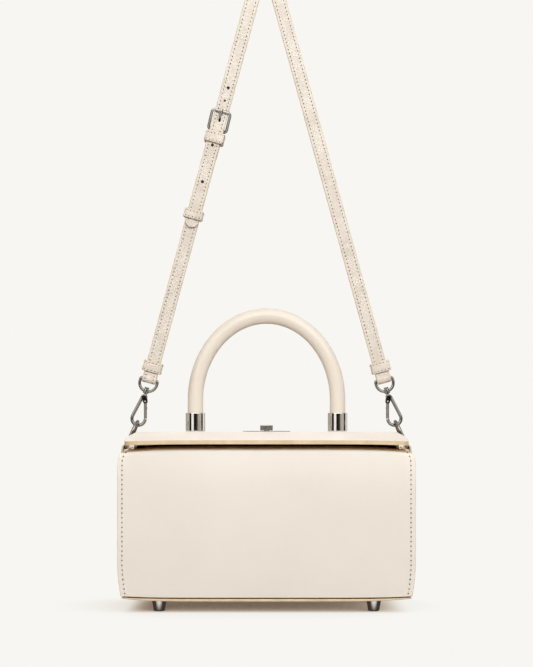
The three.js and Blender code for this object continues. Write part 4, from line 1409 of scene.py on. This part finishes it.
tongue_y, buckle_y = -rest_y(middle(keeper_tongue)), -rest_y(middle(keeper_buckle))
keepers = {
    "left": (-1, keeper_end, -layer - 0.2, layer + 0.2),
    "right": (1, keeper_end, -layer - 0.2, layer + 0.2),
    "tongue": (-1, keeper_tongue, tongue_y - layer - 1.1, tongue_y + 1.1),
    "buckle": (-1, keeper_buckle, buckle_y - layer - 1.4, low_bar_y + buckle_layer + 1),
}
keeper_bands = {}
for name, (side, place, front, back) in keepers.items():
    rows_around = keeper_rows(side, place, front, back)
    band = leather_band(
        f"keeper_band_{name}", rows_around, place[1] - place[0], keeper_thick, strap_set, True,
        inset=keeper_inset, groove=0.08, crown=0.05
    )
    keeper_bands[name] = rows_around
    dress(band, "bag", [f"keeper_{name}"])

# %% [markdown]
# ## Side rings and tabs
#
# Each D-ring hangs in a leather tab that runs down the shoulder under the neck. The
# ring is a wire, the tab a band folded over its bar.

# %% Rings and tabs
ring_wire, ring_bar_x, ring_bar_z = 2.5, 108.0, 121.3
ring_seat = -(eye_radius - hook_wire / 2) + ring_wire / 2 + play
tab_thick, tab_width, tab_inset = 1.4, 12, 1.6


def make_ring(side, name):
    top, low = strand(side, ring_seat), Vector((side * ring_bar_x * MM, 0, from_floor(ring_bar_z)))
    rise = (top - low) / MM
    height, rise = rise.length, rise.normalized()
    half, corner = 8.5, 2.5
    outline = arc_points(0, height - half, half, 0, math.pi, 40)
    outline += arc_points(-half + corner, corner, corner, math.pi, 1.5 * math.pi, 8)
    outline += arc_points(half - corner, corner, corner, 1.5 * math.pi, 2 * math.pi, 8)
    path = [low + (rise * up + Vector((0, y, 0))) * MM for y, up in outline]
    ring = wire(f"ring_wire_{name}", path, ring_wire, dark_nickel, True)
    dress(ring, "bag", [f"ring_{name}"])


def tab_rows(side):
    reach = ring_wire / 2 + play + tab_thick / 2
    flank = 110 + play + tab_thick / 2
    route = [(flank, 100), (flank, 105), (flank, 110.5), (flank + 0.1, 114.5)]
    route += arc_points(ring_bar_x, ring_bar_z, reach, -0.2, math.pi + 0.35, 24)
    route += [(ring_bar_x - 3.6, ring_bar_z - 0.2), (ring_bar_x - 5.2, ring_bar_z + 0.55)]
    path = [(Vector((side * x * MM, 0, from_floor(z))), Vector((0, 1, 0))) for x, z in route]
    return with_faces(even_path(path, 0.8, 2))


tab_paths, tab_set = {}, [body_leather, edge_paint, body_leather]
for side, name in ((-1, "left"), (1, "right")):
    make_ring(side, name)
    tab_paths[name] = tab_rows(side)
    tab = leather_band(f"ring_tab_band_{name}", tab_paths[name], tab_width, tab_thick, tab_set,
                       inset=tab_inset, groove=0.08, crown=0.05)
    dress(tab, "bag", [f"ring_tab_{name}"])

# %% [markdown]
# ## Stitches with Geometry Nodes
#
# A seam is one path with the same stitch again and again, so a node tree makes it:
# the path is cut into even steps, a small dark mark of painted shade, standing for the
# needle hole, is set on every step and a short thread half a step further. Each point
# of the path carries the direction square to the leather, so that every stitch lies flat on it.

# %% The stitch tree
stitch_tree = bpy.data.node_groups.new("stitch_row", "GeometryNodeTree")
stitch_keys = {
    "path": tree_input(stitch_tree, "Path", "NodeSocketGeometry"),
    "pitch": tree_input(stitch_tree, "Pitch", "NodeSocketFloat", 0.003),
    "length": tree_input(stitch_tree, "Thread Length", "NodeSocketFloat", 0.002),
    "width": tree_input(stitch_tree, "Thread Width", "NodeSocketFloat", 0.0005),
    "hole": tree_input(stitch_tree, "Hole Width", "NodeSocketFloat", 0.0008),
    "hole_length": tree_input(stitch_tree, "Hole Length", "NodeSocketFloat", 0.0008),
    "thread": tree_input(stitch_tree, "Thread", "NodeSocketMaterial"),
    "needle": tree_input(stitch_tree, "Needle Hole", "NodeSocketMaterial"),
}
stitch_tree.interface.new_socket("Seam", in_out="OUTPUT", socket_type="NodeSocketGeometry")
seam_in = stitch_tree.nodes.new("NodeGroupInput")
seam_out = stitch_tree.nodes.new("NodeGroupOutput")


def add_node(kind, **values):
    node = stitch_tree.nodes.new(kind)
    for label, value in values.items():
        setattr(node, label, value)
    return node


def link(source, target):
    stitch_tree.links.new(source, target)


curve = add_node("GeometryNodeMeshToCurve")
steps = add_node("GeometryNodeResampleCurve")
steps.mode = "LENGTH"
link(seam_in.outputs["Path"], curve.inputs[0])
link(curve.outputs[0], steps.inputs["Curve"])
link(seam_in.outputs["Pitch"], steps.inputs["Length"])
along_path = add_node("GeometryNodeInputTangent")
square_to = add_node("GeometryNodeInputNamedAttribute", data_type="FLOAT_VECTOR")
square_to.inputs["Name"].default_value = "square"
lie_flat = add_node("FunctionNodeAlignRotationToVector", axis="Z")
point_on = add_node("FunctionNodeAlignRotationToVector", axis="X", pivot_axis="Z")
link(square_to.outputs[0], lie_flat.inputs["Vector"])
link(lie_flat.outputs[0], point_on.inputs["Rotation"])
link(along_path.outputs[0], point_on.inputs["Vector"])


def stitch_shape(length, width, height_share, shifted, finish):
    ball = add_node("GeometryNodeMeshUVSphere")
    ball.inputs["Segments"].default_value = 8
    ball.inputs["Rings"].default_value = 5
    ball.inputs["Radius"].default_value = 0.5
    flat = add_node("ShaderNodeMath", operation="MULTIPLY")
    flat.inputs[1].default_value = height_share
    link(width, flat.inputs[0])
    size = add_node("ShaderNodeCombineXYZ")
    link(length, size.inputs[0])
    link(width, size.inputs[1])
    link(flat.outputs[0], size.inputs[2])
    placed = add_node("GeometryNodeInstanceOnPoints")
    half_step = add_node("ShaderNodeVectorMath", operation="SCALE")
    link(along_path.outputs[0], half_step.inputs[0])
    share = add_node("ShaderNodeMath", operation="MULTIPLY")
    link(seam_in.outputs["Pitch"], share.inputs[0])
    share.inputs[1].default_value = shifted
    link(share.outputs[0], half_step.inputs["Scale"])
    moved = add_node("GeometryNodeSetPosition")
    link(steps.outputs[0], moved.inputs[0])
    link(half_step.outputs[0], moved.inputs["Offset"])
    link(moved.outputs[0], placed.inputs["Points"])
    link(ball.outputs[0], placed.inputs["Instance"])
    link(point_on.outputs[0], placed.inputs["Rotation"])
    link(size.outputs[0], placed.inputs["Scale"])
    real_ones = add_node("GeometryNodeRealizeInstances")
    smoothed = add_node("GeometryNodeSetShadeSmooth")
    coloured = add_node("GeometryNodeSetMaterial")
    link(placed.outputs[0], real_ones.inputs[0])
    link(real_ones.outputs[0], smoothed.inputs[0])
    link(smoothed.outputs[0], coloured.inputs[0])
    link(finish, coloured.inputs["Material"])
    return coloured.outputs[0]


together = add_node("GeometryNodeJoinGeometry")
stitch_parts = (("Hole", "Needle Hole", 0.5, 0.0), ("Thread", "Thread", 0.8, 0.5))
for part, finish, height_share, shifted in stitch_parts:
    sizes = [seam_in.outputs[f"{part} {size}"] for size in ("Length", "Width")]
    link(stitch_shape(*sizes, height_share, shifted, seam_in.outputs[finish]), together.inputs[0])
link(together.outputs[0], seam_out.inputs[0])
print("stitch_row nodes:", len(stitch_tree.nodes))


# %% Seams from paths of places and square directions
def seam(name, rows, pitch, length, width, hole):
    made = path_object(name, [[place for place, _ in row] for row in rows])
    square = made.data.attributes.new("square", "FLOAT_VECTOR", "POINT")
    flat = [v for row in rows for _, way in row for v in way]
    square.data.foreach_set("vector", flat)
    grow(made, stitch_tree, stitch_keys, pitch=pitch * MM, length=length * MM, width=width * MM,
         hole=hole * MM, hole_length=hole * MM, thread=thread, needle=needle_hole)
    dress(made, "bag")


# %% [markdown]
# The panels are sewn to the gussets by one row down each side, close to the edge,
# front and back. In the picture the needle holes show more than the thread does.

# %% Side seams of the body
side_inset = 3.5 * MM
seam_foot, seam_top, back_seam_top = 13.5 * MM, 2.6 * MM, 3 * MM


def panel_row(side, front_face):
    row = []
    for z in shares(60, floor_z + seam_foot, body_top - seam_top):
        x = side * (half_width(z) - side_inset)
        if front_face:
            y, turn = front_profile(z)
            row.append((front_place(x, y, z), (0, -math.cos(turn), math.sin(turn))))
        elif z < back_top - back_seam_top:
            row.append((Vector((x, body_back, z)), (0, 1, 0)))
    return row


# Millimetres from hole to hole, then a thread's length and width
body_stitch = (3.46, 2.3, 0.55)
for end, in_front in (("front", True), ("back", False)):
    seam(f"seam_body_{end}", [panel_row(-1, in_front), panel_row(1, in_front)], *body_stitch, 1.15)


# %% Seams of the straps
def band_rows(rows, thick, reach, faces=(-1, 1), sink=0.12):
    found = []
    for face in faces:
        for across in (-reach, reach):
            row = [(place + (aim * across + square * face * (thick / 2 - sink)) * MM, square * face)
                   for place, aim, square in rows]
            found.append(row)
    return found


strap_stitch = (2.9, 1.9, 0.5)
sewn_at = strap_width / 2 - stitch_inset
for length, rows in (("short", short_rows[16:-14]), ("long", long_rows[16:-5])):
    seam(f"seam_strap_{length}", band_rows(rows, strap_thick, sewn_at), *strap_stitch, 0.92)

# %% Seams of keepers and tabs
keeper_seams = []
for name, (side, place, front, back) in keepers.items():
    half = (place[1] - place[0]) / 2
    around = keeper_bands[name]
    centre = sum((row[0] for row in around), Vector()) / len(around)
    outside = 1 if (around[0][0] - centre).dot(around[0][2]) > 0 else -1
    keeper_seams += band_rows(around, keeper_thick, half - keeper_inset, faces=(outside,), sink=0.06)
small_stitch, small_hole = (2.6, 1.6, 0.45), 0.8
seam("seam_keepers", keeper_seams, *small_stitch, small_hole)

tab_seams = []
for around in tab_paths.values():
    tab_seams += band_rows(around[2:14], tab_thick, tab_width / 2 - tab_inset, sink=0.06)
seam("seam_ring_tabs", tab_seams, *small_stitch, small_hole)

# %% Seam of the lid's flap on the back
def flap_row():
    inset = 3.5 * MM
    low = flap_low + inset
    row = []
    left = -lid_half + inset
    corner = flap_corner - inset
    for z in shares(8, low + corner + 8 * MM, low + corner):
        row.append((left, z))
    for turn in shares(8, math.pi, 1.5 * math.pi):
        row.append((left + corner + corner * math.cos(turn), low + corner + corner * math.sin(turn)))
    for x in shares(60, left + corner, -left - corner)[1:]:
        row.append((x, low))
    row += [(-x, z) for x, z in reversed(row[:17])]
    return [(Vector((x, fold_y + fold_radius, z)), (0, 1, 0)) for x, z in row]


seam("seam_flap", [flap_row()], *body_stitch, 1.0)

# %% [markdown]
# ## Stage
#
# The picture is a plain shop view on an even pale ground with a soft, warm shadow
# close under the bag. A lit floor would turn grey there. So the ground glows with its
# own tone and the shadow is painted: how much open sky each spot has, from an Ambient
# Occlusion node, picks a tone on a ramp from brown to the ground's own tone. Mirrors
# see a painted ground too: a dark painted shadow all round, bright only in a wedge ahead
# of each front foot, which gives the feet their dark sides. Light that falls on the ground bounces back from a
# plain darker paper.

# %% Ground with a soft, warm contact shadow
stage_size = 3.0
shadow_reach = 0.1
shadow_lean = (0.22, -0.15, 0.96)
# Mirrors see a dark painted shadow on the ground, bright only in a wedge ahead of each front foot
foot_beside, foot_ahead, wedge_spread = 0.08, 0.038, 2.0
mirrored_painted_shadow = (0.06, 0.048, 0.04)
paper_tone = (0.4, 0.37, 0.34)
ground_tone = srgb(247, 246, 242)
# Share of open sky over a spot of the ground, and the tone that it shows there
shadow_tones = [
    (0.0, srgb(60, 48, 36)), (0.03, srgb(96, 82, 67)), (0.08, srgb(146, 129, 112)),
    (0.16, srgb(192, 179, 164)), (0.32, srgb(226, 219, 209)), (0.55, srgb(240, 237, 231)), (0.8, ground_tone),
]


def smooth_step(value, low, high):
    node = tree.nodes.new("ShaderNodeMapRange")
    node.interpolation_type = "SMOOTHSTEP"
    tree.links.new(value, node.inputs["Value"])
    node.inputs["From Min"].default_value = low
    node.inputs["From Max"].default_value = high
    return node.outputs[0]


def ramp_of(share, stops):
    node = tree.nodes.new("ShaderNodeValToRGB")
    elements = node.color_ramp.elements
    while len(elements) < len(stops):
        elements.new(0.5)
    for element, (spot, tone) in zip(elements, stops):
        element.position = spot
        element.color = (*tone, 1)
    tree.links.new(share, node.inputs[0])
    return node.outputs[0]


def negative(value):
    return math_node(tree, "MULTIPLY", value, -1.0)


def mixed(share, first, second, kind="ShaderNodeMixShader"):
    node = tree.nodes.new(kind)
    for socket, value in zip(node.inputs, (share, first, second)):
        if isinstance(value, bpy.types.NodeSocket):
            tree.links.new(value, socket)
        else:
            socket.default_value = (*value, 1)
    return node.outputs[0]


bpy.ops.mesh.primitive_plane_add(size=stage_size, location=(0, 0, floor_z))
floor = bpy.context.object
floor.name = "shop_floor"
floor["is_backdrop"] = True
floor_finish = bpy.data.materials.new("shop_floor")
floor_finish.use_nodes = True
tree = floor_finish.node_tree
tree.nodes.clear()
sky = tree.nodes.new("ShaderNodeAmbientOcclusion")
sky.samples = 24
sky.inputs["Distance"].default_value = shadow_reach
sky_lean = tree.nodes.new("ShaderNodeCombineXYZ")
for axis, value in zip("XYZ", shadow_lean):
    sky_lean.inputs[axis].default_value = value
tree.links.new(sky_lean.outputs[0], sky.inputs["Normal"])
tones = ramp_of(sky.outputs["AO"], shadow_tones)
spot_on = tree.nodes.new("ShaderNodeSeparateXYZ")
tree.links.new(tree.nodes.new("ShaderNodeTexCoord").outputs["Object"], spot_on.inputs[0])
beside = math_node(tree, "SUBTRACT", math_node(tree, "ABSOLUTE", spot_on.outputs["X"]), foot_beside)
ahead_of_foot = math_node(tree, "SUBTRACT", negative(spot_on.outputs["Y"]), foot_ahead)
wedge = math_node(tree, "MULTIPLY", ahead_of_foot, wedge_spread)
past_edge = math_node(tree, "SUBTRACT", wedge, math_node(tree, "ABSOLUTE", beside))
mirrored = mixed(smooth_step(past_edge, -0.006, 0.026), mirrored_painted_shadow, tones, "ShaderNodeMixRGB")
ray_kinds = tree.nodes.new("ShaderNodeLightPath").outputs
by_camera, by_mirror = ray_kinds["Is Camera Ray"], ray_kinds["Is Glossy Ray"]
shown = tree.nodes.new("ShaderNodeEmission")
tree.links.new(mixed(by_camera, mirrored, tones, "ShaderNodeMixRGB"), shown.inputs["Color"])
paper = tree.nodes.new("ShaderNodeBsdfDiffuse")
paper.inputs["Color"].default_value = (*paper_tone, 1)
floor_out = tree.nodes.new("ShaderNodeOutputMaterial")
by_eye = mixed(math_node(tree, "MAXIMUM", by_camera, by_mirror), paper.outputs[0], shown.outputs[0])
tree.links.new(by_eye, floor_out.inputs["Surface"])
floor.data.materials.append(floor_finish)


print("tones of the ground:", len(shadow_tones))

# %% [markdown]
# Five wide soft boxes, a little cool, light the leather from the front, the back,
# both sides and above. They are hidden from mirrors, because a lamp's square glare
# would spoil the polished cups, which mirror a drawn room instead.

# %% Soft lights
bag_middle = Vector((0, 0, floor_z + 0.08))
cool = (0.86, 0.95, 1.0)
boxes = {
    "front_box": ((0.1, -1.1, 0.2), (1.0, 0.45), 14.8), "back_box": ((-0.4, 1.2, 0.3), (1.0, 0.6), 9.5),
    "left_box": ((-1.2, 0.1, 0.1), (0.8, 0.6), 3.2), "right_box": ((1.2, 0.1, 0.1), (0.8, 0.6), 3.2),
    "top_box": ((0.15, -0.3, 0.85), (0.8, 0.6), 4.2),
}
for name, (place, size, power) in boxes.items():
    data = bpy.data.lights.new(name, "AREA")
    data.shape = "RECTANGLE"
    data.size, data.size_y = size
    data.energy = power
    data.color = cool
    light = bpy.data.objects.new(name, data)
    light.location = place
    light.rotation_euler = (bag_middle - Vector(place)).to_track_quat("-Z", "Y").to_euler()
    light.visible_glossy = False
    bpy.context.scene.collection.objects.link(light)
print("soft boxes:", len(boxes))

# %% [markdown]
# The world does three jobs. The camera sees an even pale ground. Soft light comes
# from all around, warm because it has bounced off the studio's walls. And mirrors see
# a room of upright panels with dark gaps between them, because a polished cup is
# drawn by the stripes that it reflects. A bright canopy ahead, above eye height, is
# seen by the rolled top of the front panel, and gives it its long soft highlight.

# %% Pale ground, warm light, and a striped room for mirrors
world = bpy.data.worlds.new("studio")
bpy.context.scene.world = world
world.use_nodes = True
tree = world.node_tree
tree.nodes.clear()


def background(colour, strength=1.0):
    node = tree.nodes.new("ShaderNodeBackground")
    node.inputs["Strength"].default_value = strength
    if isinstance(colour, bpy.types.NodeSocket):
        tree.links.new(colour, node.inputs["Color"])
    else:
        node.inputs["Color"].default_value = (*colour, 1)
    return node.outputs[0]


dark, warm_dark, grey = (0.015, 0.013, 0.012), (0.07, 0.045, 0.035), (0.45, 0.42, 0.38)
beige, white, cloth = (0.62, 0.57, 0.50), (1.15, 1.13, 1.1), (1.0, 0.98, 0.95)
ground_ahead, warm_walls = (0.85, 0.80, 0.74), (1.0, 0.70, 0.50)
canopy_glow, wall_glow = 3.3, 0.30
# Bands round the room: the turn in degrees from the front, rightwards, and the shade
room = [
    (-180, beige), (-112, grey), (-106, beige), (-76, beige), (-70, dark), (-48, dark), (-43, white),
    (-20, white), (-16, dark), (8, dark), (14, warm_dark), (26, warm_dark), (31, grey), (72, beige),
    (78, dark), (104, dark), (109, white), (122, white), (128, beige), (180, beige),
]
apart = tree.nodes.new("ShaderNodeSeparateXYZ")
tree.links.new(tree.nodes.new("ShaderNodeTexCoord").outputs["Generated"], apart.inputs[0])
turned_by = math_node(tree, "ARCTAN2", apart.outputs["X"], negative(apart.outputs["Y"]))
spot = math_node(tree, "ADD", math_node(tree, "DIVIDE", turned_by, 2 * math.pi), 0.5)
stripes = ramp_of(spot, [(0.5 + turn / 360, shade) for turn, shade in room])
upper = smooth_step(apart.outputs["Z"], 0.6, 0.85)
lower = smooth_step(negative(apart.outputs["Z"]), 0.12, 0.25)
ahead = smooth_step(negative(apart.outputs["Y"]), 0.35, 0.75)
canopy = math_node(tree, "MULTIPLY", ahead, smooth_step(apart.outputs["Z"], 0.1, 0.24))
room_light = mixed(upper, background(stripes), background(cloth))
room_light = mixed(canopy, room_light, background(cloth, canopy_glow))
room_light = mixed(lower, room_light, mixed(ahead, background(warm_dark), background(ground_ahead)))
rays = tree.nodes.new("ShaderNodeLightPath").outputs
lit = mixed(rays["Is Glossy Ray"], background(warm_walls, wall_glow), room_light)
shown = mixed(rays["Is Camera Ray"], lit, background(ground_tone))
world_out = tree.nodes.new("ShaderNodeOutputWorld")
tree.links.new(shown, world_out.inputs["Surface"])
bpy.context.scene.view_settings.view_transform = "Standard"
print("bands in the room:", len(room))

# %% [markdown]
# The camera looks straight ahead at the height of the lid's top, so the lid is seen
# edge on. The picture is framed by shifting the lens, as a shop photographer does
# to keep upright lines upright.

# %% Camera
eye_distance, focal_length = 1.1475, 80.58
lens_shift, picture_height = 98.5, 667
camera_data = bpy.data.cameras.new("camera")
camera = bpy.data.objects.new("camera", camera_data)
bpy.context.scene.collection.objects.link(camera)
camera.location = (0.0, -eye_distance, lid_top)
camera.rotation_euler = (math.radians(90), 0, 0)
camera_data.lens = focal_length
camera_data.sensor_width = 36
camera_data.shift_y = lens_shift / picture_height
bpy.context.scene.camera = camera

# %% Finish
made_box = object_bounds()
sizes = {"frame": [list(cad_box[0]), list(cad_box[1])], "scene": [list(made_box[0]), list(made_box[1])]}
print("box of the scene:", [round(v, 4) for v in (*made_box[0], *made_box[1])])
